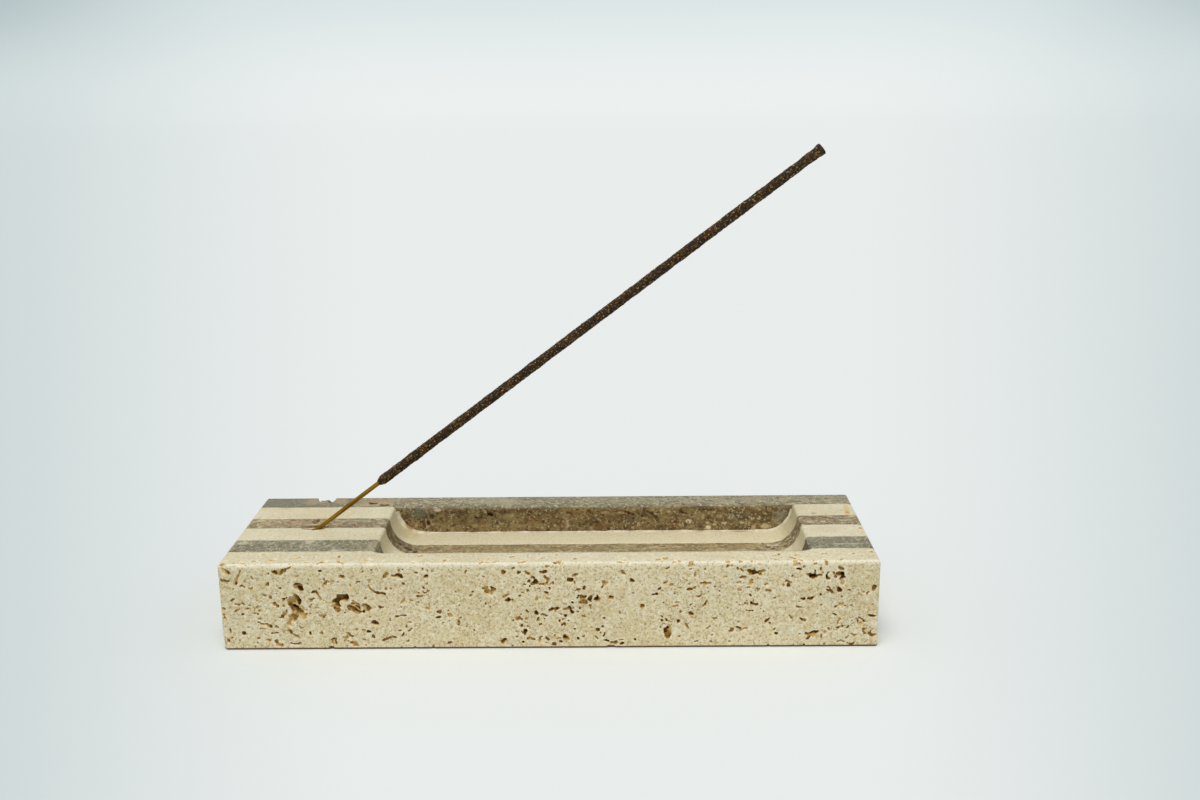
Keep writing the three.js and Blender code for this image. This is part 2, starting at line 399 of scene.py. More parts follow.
def stone_strip(index, voxel, hollows):
    """One strip of the block, with its own pits and chips, as a mesh."""
    name = STRIPS[index]
    volume = Volume(*strip_boxes[name], voxel)
    x, y, z = volume.places()
    if index > 0:
        volume.field = np.maximum(volume.field, y - (seam_at(index - 1, x, z) - HALF_GLUE))
    if index < len(seams):
        volume.field = np.maximum(volume.field, seam_at(index, x, z) + HALF_GLUE - y)
    if name in HOLE_STRIPS:
        volume.field = np.maximum(volume.field, -hole_room(x, y, z))
    for hollow in hollows:
        volume.carve(hollow)
    if name == FRONT_STRIP:
        carve_pores(volume)
    points, triangles, quads = volume.surface(ADAPTIVITY)
    if signed_volume(points, triangles, quads) < 0:
        triangles, quads = triangles[:, ::-1], quads[:, ::-1]
    kept = largest_part(len(points), triangles, quads)
    number = np.cumsum(kept) - 1
    faces = [number[part[kept[part[:, 0]]]].tolist() for part in (triangles, quads)]
    points = points[kept]
    piece = object_from(name + "_stone", points, faces[0] + faces[1])
    x, y, z = points.T
    marks = {"pit": -ground_stone(x, y, z), "rim": volume.rim(points, RIM_REACH)}
    if name == FRONT_STRIP:
        marks["pit"] = marks["pit"] * unstained(x, y, z)
        marks["crowd"] = crowding(x, z)
    for mark, values in marks.items():
        attribute = piece.data.attributes.new(mark, "FLOAT", "POINT")
        attribute.data.foreach_set("value", values.astype(np.float32))
    shade_smoothly(piece, SHARP_DEGREES)
    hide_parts(name)
    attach(piece, "block")
    return piece


# Pits in the front face. Each has its depth, its width and the line it follows, along and up.
FRONT_PITS = [
    # left end
    (0.8, 0.8, -98.0, 26.4, -97.2, 25.4, -96.4, 25.1), (1.0, 0.6, -99.3, 22.8, -96.7, 22.9),
    (0.6, 0.4, -93.1, 26.0, -93.7, 24.4, -94.6, 22.8, -94.5, 22.0), (1.2, 0.9, -94.5, 21.9),
    (0.7, 0.7, -89.6, 24.3, -89.6, 23.6), (0.8, 0.8, -84.7, 25.0), (1.2, 1.1, -84.9, 21.6),
    (0.8, 0.8, -81.2, 20.4), (1.2, 1.2, -83.0, 25.6, -82.5, 25.5),
    (1.0, 0.9, -82.4, 25.4, -81.4, 25.1, -79.6, 26.2), (0.7, 0.5, -79.6, 26.2, -77.8, 27.3),
    (0.7, 0.5, -80.8, 24.6), (0.8, 0.5, -93.2, 21.2, -92.3, 20.7),
    (0.5, 0.5, -90.5, 20.6, -89.8, 20.4), (0.5, 0.5, -95.6, 20.3),
    (0.7, 0.5, -96.6, 16.4, -95.6, 17.0), (0.7, 0.5, -95.3, 15.3, -94.0, 14.9),
    (0.6, 0.5, -93.6, 15.4, -92.8, 15.3), (0.8, 0.7, -99.2, 13.8, -98.7, 13.9),
    (0.5, 0.5, -91.4, 14.6, -90.9, 14.6), (0.5, 0.5, -88.7, 16.2),
    (0.6, 0.5, -86.6, 18.2, -85.6, 17.9), (0.6, 0.6, -84.8, 17.2, -84.2, 17.5),
    (0.8, 0.45, -82.5, 18.5), (0.9, 0.8, -80.5, 16.9), (0.8, 0.5, -79.5, 17.1),
    (0.8, 0.6, -78.8, 17.1, -78.2, 17.1), (0.8, 0.7, -83.4, 15.3, -82.6, 14.3),
    (0.7, 0.5, -95.7, 12.8, -94.4, 13.4), (0.9, 0.8, -93.4, 11.8),
    (0.6, 0.5, -89.5, 12.1, -88.9, 11.9), (0.6, 0.6, -88.5, 13.0, -88.0, 13.1),
    (0.6, 0.6, -99.2, 11.6, -98.9, 10.5), (0.7, 0.6, -80.1, 12.8, -80.6, 11.7, -81.2, 10.9),
    (1.0, 0.8, -81.2, 10.8, -81.8, 10.6), (0.5, 0.4, -88.9, 10.3, -87.7, 10.2),
    (0.8, 0.5, -89.0, 9.0, -86.7, 8.5, -85.6, 8.0), (0.9, 1.1, -85.6, 7.9, -85.2, 7.7),
    (0.3, 0.9, -91.8, 7.6, -91.0, 7.4), (0.8, 0.8, -83.3, 7.6), (0.9, 0.5, -97.6, 7.0, -97.6, 5.8),
    (1.8, 1.2, -93.4, 5.2), (0.7, 0.5, -85.0, 5.4, -82.8, 5.8), (0.5, 0.4, -88.5, 6.9, -86.7, 7.0),
    (1.1, 1.0, -79.2, 6.1, -79.0, 5.7), (0.7, 0.6, -79.0, 5.8, -78.1, 4.9, -76.7, 3.9),
    (0.6, 0.5, -79.9, 6.5), (1.4, 0.9, -73.2, 5.5), (0.8, 0.9, -98.4, 3.5, -98.2, 2.6),
    (0.6, 0.5, -89.5, 3.7, -88.9, 3.6), (0.7, 0.6, -89.6, 2.3), (0.6, 0.6, -86.4, 3.4, -85.6, 3.1),
    (1.0, 0.6, -90.4, 1.2), (0.7, 0.9, -83.8, 3.1, -83.1, 2.0), (0.6, 0.8, -83.0, 1.9, -82.0, 1.4),
    (0.9, 0.6, -79.2, 2.1, -78.1, 1.7, -76.7, 2.1),
    # the crooked cleft
    (0.9, 2.6, -76.8, 16.2, -76.9, 13.4, -77.6, 11.6), (0.6, 1.8, -75.6, 11.8, -74.9, 11.0),
    (2.3, 0.9, -76.6, 17.5, -75.7, 16.2, -76.1, 15.2), (2.4, 1.5, -77.6, 14.2, -76.7, 14.1),
    (2.0, 1.1, -76.7, 14.0, -76.2, 13.3), (0.6, 1.3, -78.0, 16.2, -78.4, 15.0),
    (1.1, 1.3, -76.2, 12.8, -75.1, 12.3), (0.55, 1.2, -77.5, 12.4, -78.6, 10.7, -79.4, 9.3),
    (0.8, 0.5, -73.5, 13.1), (0.9, 0.5, -74.0, 11.9), (1.4, 1.2, -76.6, 21.2, -75.7, 21.0),
    (1.6, 1.4, -75.5, 20.9, -74.9, 20.2), (0.5, 0.5, -76.0, 24.2), (0.8, 0.6, -72.5, 23.0),
    (0.5, 0.4, -73.0, 21.7), (1.2, 0.7, -69.0, 25.8, -68.5, 25.8),
    (0.9, 0.7, -67.2, 22.4, -67.5, 21.6), (0.6, 0.4, -67.7, 23.3, -67.2, 22.5),
    (0.6, 0.5, -67.6, 21.6, -68.5, 20.9), (0.5, 0.4, -66.7, 22.4, -65.0, 22.5),
    (0.8, 0.5, -63.7, 22.3), (0.9, 0.8, -62.6, 24.1, -61.9, 24.1), (0.6, 0.45, -60.1, 21.1),
    (0.7, 0.6, -57.9, 22.1, -57.3, 22.2), (0.8, 0.7, -55.8, 17.0, -55.4, 17.0),
    (0.5, 0.5, -56.2, 25.6), (0.6, 0.5, -53.3, 25.9), (0.6, 0.5, -54.9, 23.9),
    (0.5, 0.6, -54.2, 22.9, -54.4, 20.9), (0.7, 0.6, -54.4, 20.6, -53.9, 19.6, -52.8, 19.0),
    (1.1, 0.8, -52.6, 18.9, -51.4, 18.5, -50.0, 18.3), (1.0, 1.0, -71.1, 19.0, -70.4, 18.9),
    (0.6, 0.5, -70.2, 18.7, -69.6, 17.8, -69.4, 16.3), (0.7, 0.6, -69.4, 19.8),
    (0.9, 0.6, -72.1, 16.4, -71.3, 17.0), (0.8, 0.5, -72.1, 15.1),
    (0.4, 0.8, -70.8, 14.0, -70.2, 14.0), (0.7, 0.5, -69.7, 11.3, -68.5, 10.6),
    (0.6, 0.4, -70.8, 12.1), (0.6, 0.6, -69.9, 6.0, -69.9, 5.3),
    # the arched cave and the box beside it
    (2.0, 2.0, -64.5, 15.3, -64.2, 16.2, -63.0, 17.1, -61.9, 17.2),
    (1.9, 1.5, -61.7, 17.3, -61.5, 16.5), (0.6, 1.4, -64.9, 14.2, -64.5, 13.6),
    (1.2, 0.8, -64.5, 12.8, -64.1, 12.8), (0.75, 2.2, -59.9, 14.4, -58.0, 13.7, -55.8, 13.6),
    (1.2, 0.6, -59.8, 15.2, -57.8, 14.9), (1.5, 0.7, -60.4, 13.6, -58.9, 12.8, -57.2, 12.3),
    (1.8, 0.9, -56.6, 12.4), (1.6, 1.0, -55.2, 14.3, -54.9, 13.2),
    (1.3, 0.5, -58.4, 14.1, -57.4, 13.2), (0.6, 0.4, -62.1, 11.9),
    (0.8, 0.8, -51.4, 13.9, -50.9, 13.9), (0.5, 0.5, -54.6, 10.6),
    (1.2, 0.9, -54.2, 8.7, -53.2, 8.9, -52.3, 8.5), (0.5, 0.5, -59.3, 6.6, -58.5, 6.4),
    (0.5, 0.5, -57.0, 6.5, -56.4, 6.3), (1.2, 0.6, -55.7, 6.0, -54.7, 5.6),
    (0.8, 0.7, -53.9, 4.6, -53.9, 3.8), (1.0, 0.7, -61.3, 5.2, -60.5, 4.2),
    (0.4, 1.8, -61.2, 3.4, -60.4, 2.8), (0.8, 0.9, -60.6, 1.9, -60.0, 1.9),
    (1.3, 0.8, -66.6, 3.2, -65.4, 3.2), (0.7, 0.5, -66.4, 2.7, -66.3, 2.0),
    (0.7, 0.5, -65.5, 2.7, -65.4, 1.8), (0.8, 0.6, -67.6, 0.7, -66.5, 0.6),
    (0.6, 0.5, -57.3, 3.1, -56.8, 3.1), (0.5, 0.5, -56.2, 1.4),
    (0.9, 0.7, -51.0, 3.0, -49.7, 3.4, -48.4, 4.2, -47.3, 3.9), (0.5, 0.4, -63.9, 8.3),
    (0.5, 0.5, -61.2, 8.1), (0.5, 0.4, -76.1, 7.4, -75.5, 7.4), (0.5, 0.4, -77.8, 9.2),
    # x = -50 to 0
    (0.7, 0.5, -49.9, 27.2, -49.5, 27.3), (0.7, 1.1, -49.3, 23.9, -48.6, 24.9),
    (1.5, 1.4, -45.3, 24.2, -44.5, 24.1), (0.9, 0.7, -47.1, 24.1, -46.1, 24.0),
    (0.6, 0.4, -45.1, 25.9, -45.0, 25.1), (0.6, 0.5, -43.9, 26.2),
    (0.8, 0.6, -39.9, 25.2, -39.5, 25.2), (0.6, 0.6, -37.8, 26.2, -37.8, 25.8),
    (0.7, 0.5, -36.4, 26.1, -36.2, 25.4), (0.7, 0.6, -35.3, 25.8, -35.3, 25.4),
    (1.2, 0.8, -37.1, 23.8, -36.5, 23.8), (0.6, 0.5, -37.6, 22.6),
    (0.7, 0.6, -37.2, 21.5, -36.8, 21.5), (0.7, 0.6, -37.7, 20.3, -37.7, 19.9),
    (0.7, 0.5, -37.1, 18.6), (0.5, 0.5, -41.1, 21.7), (0.6, 0.6, -49.2, 20.1, -49.2, 19.7),
    (0.6, 0.45, -43.4, 17.1), (0.8, 0.5, -40.0, 17.2, -38.6, 17.6),
    (0.5, 0.4, -43.8, 16.4, -44.6, 15.3), (0.5, 0.4, -42.1, 16.0, -41.4, 16.0),
    (0.5, 0.5, -39.4, 15.4), (0.6, 0.5, -45.1, 13.9), (0.6, 0.5, -50.8, 13.8),
    (0.9, 0.45, -46.6, 10.9, -45.0, 11.2, -43.8, 11.1), (0.6, 0.5, -48.4, 10.0, -48.4, 9.5),
    (0.5, 0.4, -42.9, 8.9, -42.3, 8.9), (0.7, 0.5, -43.7, 7.6, -43.7, 7.3),
    (0.7, 0.6, -43.1, 6.1, -42.3, 6.6), (0.7, 0.5, -46.0, 6.2, -45.5, 6.3), (1.7, 0.85, -44.8, 4.9),
    (0.5, 0.5, -43.7, 4.6), (0.7, 0.5, -43.7, 2.7, -43.2, 2.7), (0.9, 0.8, -41.2, 0.4),
    (0.7, 0.7, -35.5, 1.1, -35.5, 0.6), (0.8, 0.9, -33.6, 12.2, -33.0, 12.3),
    (0.9, 0.7, -34.2, 10.3, -33.2, 10.8), (0.6, 0.5, -30.6, 12.8),
    (0.6, 1.0, -30.4, 11.1, -29.9, 11.1), (1.3, 0.9, -27.7, 8.1, -27.5, 8.6),
    (0.7, 0.6, -27.2, 10.3, -26.9, 10.3), (0.5, 0.4, -30.5, 9.2), (0.8, 0.7, -27.3, 14.2),
    (0.4, 0.5, -28.9, 15.0), (0.6, 0.4, -27.8, 18.8), (1.0, 0.8, -23.1, 18.6, -22.9, 18.6),
    (0.6, 0.6, -23.4, 18.0, -23.8, 17.4), (0.5, 0.4, -20.7, 15.9),
    (0.6, 0.5, -19.4, 14.8, -19.0, 14.7), (0.9, 0.6, -20.6, 22.8), (0.7, 0.5, -19.4, 23.8),
    (0.6, 0.5, -21.4, 23.9), (0.5, 0.4, -26.4, 22.5), (0.8, 0.45, -24.9, 25.5, -24.9, 24.9),
    (0.45, 1.5, -19.0, 19.4, -17.0, 19.3), (0.9, 0.6, -19.6, 19.9, -18.5, 20.2),
    (1.5, 1.0, -17.4, 20.0, -16.5, 19.7), (0.8, 0.6, -19.2, 18.4, -18.8, 18.4),
    (0.6, 0.5, -17.3, 18.1), (1.1, 1.0, -13.7, 25.0, -13.4, 25.0), (0.5, 0.4, -14.4, 21.7),
    (0.8, 0.5, -13.6, 22.2), (0.7, 0.4, -13.7, 17.2, -12.2, 17.8),
    (1.7, 1.1, -12.5, 15.9, -12.2, 16.4), (0.9, 0.6, -10.9, 15.8), (0.7, 0.9, -10.3, 26.3),
    (0.9, 0.5, -9.1, 24.7, -8.7, 25.3), (0.6, 0.4, -10.6, 20.3), (0.6, 0.4, -7.1, 25.2),
    (0.8, 0.6, -6.3, 24.8, -6.2, 24.4), (0.7, 0.5, -5.3, 23.2), (1.0, 0.7, -4.6, 23.2, -4.1, 23.0),
    (1.1, 0.8, -6.0, 22.1, -5.5, 22.1), (1.7, 1.0, -4.6, 21.4, -3.7, 21.9),
    (0.8, 0.7, -1.0, 23.6, -0.2, 22.7, -0.4, 21.5), (0.7, 0.6, -0.6, 21.2, -1.6, 20.8, -2.6, 21.0),
    (1.8, 1.1, -1.3, 25.0, -0.9, 25.0), (1.2, 0.7, -2.5, 25.1), (0.6, 0.5, -0.6, 27.0, 0.0, 27.0),
    (0.8, 0.5, -7.4, 20.9, -7.1, 20.9), (0.9, 0.7, -5.6, 20.6), (0.9, 0.9, -6.5, 19.2, -6.3, 18.8),
    (0.8, 0.6, -7.7, 18.2), (0.6, 0.4, -8.4, 17.3), (0.9, 0.8, -3.5, 16.7),
    (1.6, 1.0, -0.8, 18.3, -0.6, 18.3), (1.3, 0.9, 0.3, 19.5, 0.5, 19.4),
    (0.5, 0.4, -0.5, 16.2, 0.0, 16.2), (1.1, 0.8, -6.7, 12.2), (0.7, 0.6, -8.3, 11.2),
    (0.9, 0.7, -9.8, 9.8, -9.0, 10.3, -8.2, 9.6), (0.9, 0.6, -11.1, 9.2),
    (1.7, 1.0, -3.9, 11.7, -3.7, 11.7), (0.9, 0.6, -2.4, 11.0, -1.2, 11.2, -0.5, 10.8),
    (1.4, 0.8, -3.3, 9.5), (0.6, 0.6, -1.2, 9.7), (0.9, 0.7, -2.8, 8.0, -2.4, 8.0),
    (0.9, 0.8, -8.3, 7.5), (0.7, 0.6, -6.7, 7.1), (1.7, 0.9, -7.5, 6.3, -7.4, 5.0),
    (0.6, 0.9, -8.4, 5.7, -8.2, 5.2), (0.8, 0.6, -9.9, 4.0), (0.5, 0.4, -9.9, 5.7),
    (0.9, 0.6, -6.5, 3.1, -5.6, 3.4, -4.6, 2.9), (1.2, 0.9, -8.2, 2.2),
    (1.2, 0.9, -14.6, 2.2, -13.7, 2.9), (0.8, 0.6, -12.9, 1.3), (0.7, 0.5, -11.1, 0.8),
    (1.6, 0.9, -30.6, 2.1, -30.3, 2.1), (0.9, 0.6, -23.0, 6.1), (0.5, 0.4, -24.9, 7.1),
    (0.5, 0.4, -22.6, 12.1), (0.7, 0.5, -3.1, 2.4, -3.0, 3.3, -2.3, 3.9),
    (1.0, 0.8, -1.0, 3.3, -0.3, 2.7), (0.5, 0.5, -1.2, 1.6),
    # x = 0 to 50
    (1.9, 1.5, 6.7, 22.6), (0.7, 0.7, 7.7, 23.9, 8.6, 24.4), (0.5, 0.5, 2.1, 22.9),
    (0.6, 0.6, 0.7, 21.4, 1.3, 21.4), (0.7, 0.5, 7.9, 21.6, 8.3, 20.8),
    (1.4, 0.7, 10.6, 19.3, 11.0, 20.0), (0.8, 0.6, 8.7, 19.1, 9.6, 19.1), (0.5, 0.5, 7.9, 18.7),
    (0.9, 1.0, 10.0, 17.4, 10.2, 17.0), (1.4, 0.8, 11.1, 17.0),
    (0.8, 0.8, 16.6, 21.9, 17.0, 21.0, 16.4, 20.2), (0.7, 0.5, 17.0, 21.1, 17.7, 21.5),
    (0.4, 0.3, 14.1, 22.2, 14.7, 22.3), (0.7, 0.6, 20.6, 20.4), (0.9, 0.8, 22.5, 25.1, 22.9, 24.3),
    (1.4, 1.0, 25.4, 22.0), (1.0, 1.0, 25.6, 18.0), (0.6, 0.6, 24.4, 17.6),
    (1.0, 0.8, 18.8, 16.6, 19.1, 16.6), (0.6, 0.6, 8.5, 16.4), (1.1, 1.2, 12.4, 16.3, 12.8, 16.3),
    (2.0, 0.7, 12.8, 15.4), (1.8, 1.2, 14.6, 16.6, 14.6, 15.8), (1.2, 1.4, 9.9, 15.1, 10.6, 15.2),
    (0.8, 0.7, 12.5, 13.9), (1.2, 0.9, 9.2, 13.2, 9.6, 13.2), (0.7, 0.5, 8.3, 12.4, 9.0, 11.9),
    (1.6, 1.0, 6.2, 13.3, 6.5, 12.4, 7.0, 12.0), (0.7, 0.5, 4.8, 12.8, 5.8, 13.2),
    (1.3, 0.9, 0.4, 12.8, 0.8, 12.9), (1.1, 0.8, 1.6, 13.0, 2.6, 12.9), (0.7, 0.5, 2.0, 12.2),
    (1.6, 1.0, 4.9, 10.6), (0.5, 0.4, 3.7, 11.1), (1.3, 0.7, 3.1, 9.1), (0.7, 0.6, 4.3, 9.5),
    (0.6, 0.4, 6.0, 9.1), (0.8, 0.7, 3.6, 7.6, 4.3, 8.2, 5.0, 7.6),
    (0.9, 0.7, 16.4, 10.0, 16.8, 10.0), (0.6, 0.4, 21.4, 12.2, 21.4, 11.4), (2.0, 1.3, 15.0, 6.2),
    (0.8, 0.7, 16.3, 7.2), (0.7, 0.6, 7.6, 6.4, 8.0, 6.4), (0.8, 0.6, 17.0, 4.8, 16.4, 3.8),
    (0.7, 0.6, 15.6, 4.9), (0.6, 0.5, 13.9, 3.6, 14.8, 3.0), (1.7, 0.9, 17.3, 2.5, 17.6, 2.5),
    (1.6, 1.1, 4.5, 3.6, 5.3, 3.1), (1.6, 1.0, 8.5, 3.2, 8.7, 3.2), (0.7, 0.5, 9.9, 3.7, 10.5, 4.2),
    (1.0, 0.9, 3.4, 2.1, 3.8, 2.1), (1.1, 1.0, 1.1, 1.3, 1.5, 1.3), (0.6, 0.5, 1.7, 4.2),
    (1.1, 1.1, 19.4, 1.9, 20.0, 1.9), (1.7, 0.9, 21.9, 1.4, 22.3, 1.4),
    (0.7, 0.5, 21.3, 2.7, 22.1, 2.7), (0.8, 0.7, 26.1, 2.6), (0.5, 0.5, 29.2, 7.9),
    (1.2, 1.1, 28.3, 13.8), (0.4, 0.4, 32.0, 15.5, 32.0, 14.7), (1.2, 1.1, 33.6, 19.5),
    (0.6, 0.5, 34.9, 21.4, 36.0, 21.6), (0.9, 0.6, 31.5, 17.3), (1.2, 0.9, 32.5, 17.9, 32.9, 17.9),
    (0.9, 0.8, 34.5, 15.0), (0.8, 0.5, 36.1, 26.0, 36.5, 26.2), (0.5, 0.5, 35.2, 27.1),
    (0.5, 0.9, 41.4, 24.2), (0.7, 0.9, 43.0, 27.1), (0.6, 0.5, 42.9, 25.8),
    (0.6, 0.4, 44.3, 24.3, 44.3, 23.5), (0.7, 0.5, 47.1, 25.6, 47.1, 25.3), (0.5, 0.5, 41.7, 21.9),
    (0.8, 0.5, 46.0, 21.2, 47.5, 21.3, 48.9, 21.0), (0.6, 0.5, 47.7, 20.8),
    (1.1, 0.7, 41.7, 18.9, 42.8, 19.3), (0.8, 0.5, 43.3, 19.2, 44.3, 19.9),
    (0.8, 0.5, 45.2, 16.8, 46.1, 17.1), (0.6, 0.6, 38.3, 17.7), (0.5, 0.5, 47.9, 19.2),
    (0.6, 0.35, 37.6, 13.5, 39.2, 13.8), (0.8, 0.5, 43.0, 14.2), (0.6, 0.5, 43.3, 13.0),
    (1.1, 0.6, 47.3, 14.2, 47.8, 15.2), (0.8, 0.5, 48.6, 14.5), (1.2, 1.1, 43.2, 11.3),
    (0.6, 0.5, 47.6, 11.3), (0.6, 0.5, 34.0, 10.2, 34.4, 10.2), (1.2, 0.7, 34.2, 9.0),
    (0.9, 0.7, 35.4, 9.2, 35.4, 8.8), (1.4, 0.9, 39.4, 8.7), (0.7, 0.6, 37.2, 7.9),
    (0.6, 0.5, 33.8, 6.8), (2.0, 0.9, 36.2, 6.5, 35.5, 5.7, 35.3, 4.8),
    (0.7, 2.6, 36.9, 5.4, 38.2, 5.3), (0.7, 0.8, 35.4, 4.1), (0.9, 0.7, 41.6, 7.5, 42.2, 6.7),
    (0.6, 0.5, 39.3, 3.5, 39.7, 3.5), (0.9, 0.7, 44.9, 1.9), (0.6, 0.4, 48.7, 1.9, 49.3, 1.9),
    (0.8, 0.6, 49.3, 4.2, 49.7, 4.2), (0.5, 0.4, 48.2, 6.3, 49.0, 6.9),
    (0.7, 0.5, 49.7, 9.6, 50.8, 9.6), (0.8, 0.6, 18.0, 0.4, 19.5, 0.5),
    # right end
    (0.8, 0.6, 53.8, 26.4, 54.2, 26.5), (0.5, 0.5, 55.4, 26.9), (0.7, 0.5, 57.0, 25.6, 57.3, 25.6),
    (0.8, 0.5, 57.9, 25.7, 58.7, 25.0), (1.8, 1.1, 61.0, 24.5, 62.0, 24.4),
    (1.4, 0.7, 60.5, 24.9, 63.2, 24.4), (1.0, 0.7, 63.3, 24.5, 64.8, 25.1),
    (0.9, 0.5, 61.9, 24.8, 62.0, 25.7), (0.8, 0.5, 60.6, 25.2), (0.9, 0.6, 63.4, 24.1, 64.1, 23.9),
    (1.0, 0.6, 58.3, 22.9, 59.6, 23.2), (0.6, 0.5, 57.7, 23.7), (0.35, 0.9, 57.7, 22.5),
    (0.7, 0.5, 57.2, 21.2, 57.8, 21.3), (0.5, 0.5, 53.4, 23.2), (0.6, 0.6, 61.3, 22.0, 61.3, 21.6),
    (0.4, 0.6, 64.0, 22.4), (0.5, 0.4, 65.8, 20.5, 66.2, 20.5), (0.8, 0.5, 62.9, 19.3, 63.4, 19.3),
    (0.8, 0.7, 65.9, 18.4, 66.9, 18.5), (0.5, 0.8, 57.9, 18.9), (0.6, 0.5, 51.6, 18.5),
    (0.7, 0.6, 50.3, 19.8), (0.6, 0.5, 52.0, 17.0), (0.8, 0.6, 61.2, 17.0), (0.6, 0.5, 62.0, 15.3),
    (1.3, 0.8, 61.3, 14.7, 62.0, 14.2, 63.1, 14.2), (0.8, 0.7, 59.6, 14.3, 59.9, 14.3),
    (0.6, 0.6, 57.7, 13.9), (0.5, 0.5, 57.1, 14.8), (0.8, 0.6, 68.2, 16.1, 68.6, 16.1),
    (0.7, 0.4, 60.0, 12.3, 61.2, 12.2, 62.0, 12.0), (0.6, 0.5, 64.4, 12.6), (0.5, 0.5, 65.2, 11.9),
    (0.8, 0.6, 54.3, 13.0), (0.6, 0.5, 52.0, 10.8), (0.4, 0.5, 63.1, 9.9), (0.4, 0.4, 57.0, 8.9),
    (0.9, 0.8, 54.9, 5.5, 56.0, 5.9), (1.5, 0.8, 57.3, 6.6, 57.9, 6.3),
    (0.45, 0.6, 58.5, 5.8, 60.5, 6.3), (0.4, 0.5, 61.4, 4.3), (1.0, 0.8, 65.8, 8.3, 66.6, 8.9),
    (1.3, 0.7, 66.9, 7.8), (0.7, 0.5, 68.6, 5.8), (1.3, 0.8, 68.9, 4.6, 69.1, 4.6),
    (0.7, 0.6, 55.1, 1.8), (0.5, 0.4, 64.1, 1.8), (0.9, 0.7, 66.9, 0.6),
    (0.8, 0.9, 74.4, 27.3, 74.4, 26.9), (0.7, 0.5, 76.7, 26.2, 77.1, 26.3),
    (1.3, 0.6, 74.9, 25.5, 76.0, 25.4), (0.6, 0.6, 80.2, 27.1, 80.6, 27.1),
    (0.7, 0.7, 83.7, 27.2, 83.7, 26.9), (0.9, 0.5, 82.1, 25.8, 82.1, 25.4), (0.7, 0.6, 73.6, 23.1),
    (0.8, 0.5, 71.8, 21.5, 73.0, 21.4), (1.3, 0.8, 72.5, 20.2), (0.6, 0.8, 71.1, 20.4, 71.1, 20.0),
    (1.2, 0.8, 78.4, 23.9, 79.3, 23.1), (2.0, 1.1, 79.3, 23.0, 80.6, 23.1),
    (1.2, 0.6, 80.7, 23.2, 82.3, 23.4), (0.9, 0.6, 80.2, 23.8, 80.2, 24.7), (0.6, 0.5, 82.6, 24.1),
    (1.9, 0.8, 83.6, 22.9, 84.3, 22.2), (0.9, 0.5, 83.9, 23.4, 84.0, 24.4),
    (2.4, 1.0, 88.6, 24.3, 88.8, 22.8), (1.3, 0.8, 86.9, 23.7, 88.3, 24.0),
    (0.9, 0.9, 87.6, 25.9, 88.8, 25.3), (0.9, 1.6, 88.4, 21.7, 88.6, 21.2),
    (0.8, 0.5, 86.1, 24.4, 86.6, 22.8), (1.5, 1.4, 87.6, 18.9, 87.9, 18.8),
    (0.7, 0.5, 84.1, 19.8, 84.9, 19.5), (1.1, 0.8, 84.3, 18.7, 85.2, 18.4, 85.6, 17.6),
    (0.6, 0.5, 85.9, 19.4), (1.0, 0.6, 90.4, 18.7, 91.3, 18.6), (0.6, 0.5, 93.4, 18.9),
    (0.5, 0.4, 94.9, 17.6, 95.4, 17.6), (0.8, 0.5, 96.2, 17.3, 96.9, 17.9),
    (1.1, 1.3, 98.2, 19.6, 98.2, 19.2), (1.1, 0.7, 82.3, 17.1), (1.3, 0.7, 76.3, 15.8, 77.3, 15.9),
    (1.4, 1.2, 79.5, 15.8, 79.8, 16.0), (0.8, 0.6, 78.3, 15.8, 79.2, 15.9),
    (0.7, 0.5, 75.1, 13.2, 76.4, 13.0), (0.6, 0.5, 71.0, 14.5), (1.0, 0.7, 86.8, 13.2, 87.0, 13.2),
    (0.6, 0.4, 88.0, 14.0, 88.9, 14.5), (0.7, 0.5, 89.7, 13.4), (0.6, 0.5, 98.1, 13.9),
    (0.7, 0.5, 99.5, 14.2, 99.5, 13.8), (0.7, 0.45, 72.9, 10.2, 73.7, 9.4),
    (1.1, 0.7, 76.5, 9.4, 77.6, 8.8), (0.6, 0.5, 81.4, 10.9), (0.6, 0.5, 81.3, 10.0),
    (1.0, 0.6, 86.3, 10.8, 87.1, 10.4), (1.0, 0.6, 97.0, 10.3, 97.8, 10.1, 99.0, 10.1),
    (0.7, 0.4, 93.6, 9.3, 93.7, 8.0), (0.7, 0.4, 93.9, 7.6, 95.0, 7.8),
    (0.6, 0.4, 94.2, 9.4, 95.3, 9.0, 95.7, 8.3), (1.0, 0.7, 95.7, 8.1),
    (0.5, 0.4, 88.4, 9.2, 87.7, 8.2, 87.8, 7.6), (0.6, 0.5, 92.0, 8.3),
    (0.8, 0.9, 87.8, 6.5, 88.5, 6.9, 89.2, 6.7), (0.6, 0.4, 90.4, 6.2, 90.9, 7.0),
    (0.7, 0.6, 84.9, 5.8), (1.1, 0.8, 95.8, 5.8), (0.9, 0.6, 95.2, 4.8, 95.9, 4.1),
    (0.8, 0.5, 97.4, 4.4, 98.0, 5.2), (1.2, 0.9, 97.6, 4.2, 98.4, 3.6, 99.4, 3.9),
    (1.3, 0.9, 78.0, 4.5, 78.9, 4.3), (1.7, 1.0, 79.9, 4.6, 81.4, 5.0),
    (0.8, 0.7, 78.8, 2.5, 79.2, 3.2), (0.45, 1.0, 79.2, 3.8, 80.2, 3.8),
    (0.6, 0.5, 82.9, 3.6, 82.9, 3.0), (0.5, 0.4, 76.3, 4.2), (0.8, 0.6, 90.2, 2.9, 91.2, 3.3),
    (0.6, 0.4, 92.0, 4.0, 93.3, 3.9), (0.6, 0.4, 88.0, 1.6, 89.6, 1.8),
    (0.7, 0.5, 90.6, 1.1, 92.8, 1.0), (0.6, 0.5, 74.5, 0.9), (0.7, 0.6, 83.7, 0.7),
    (0.5, 0.5, 89.0, 4.6),
]

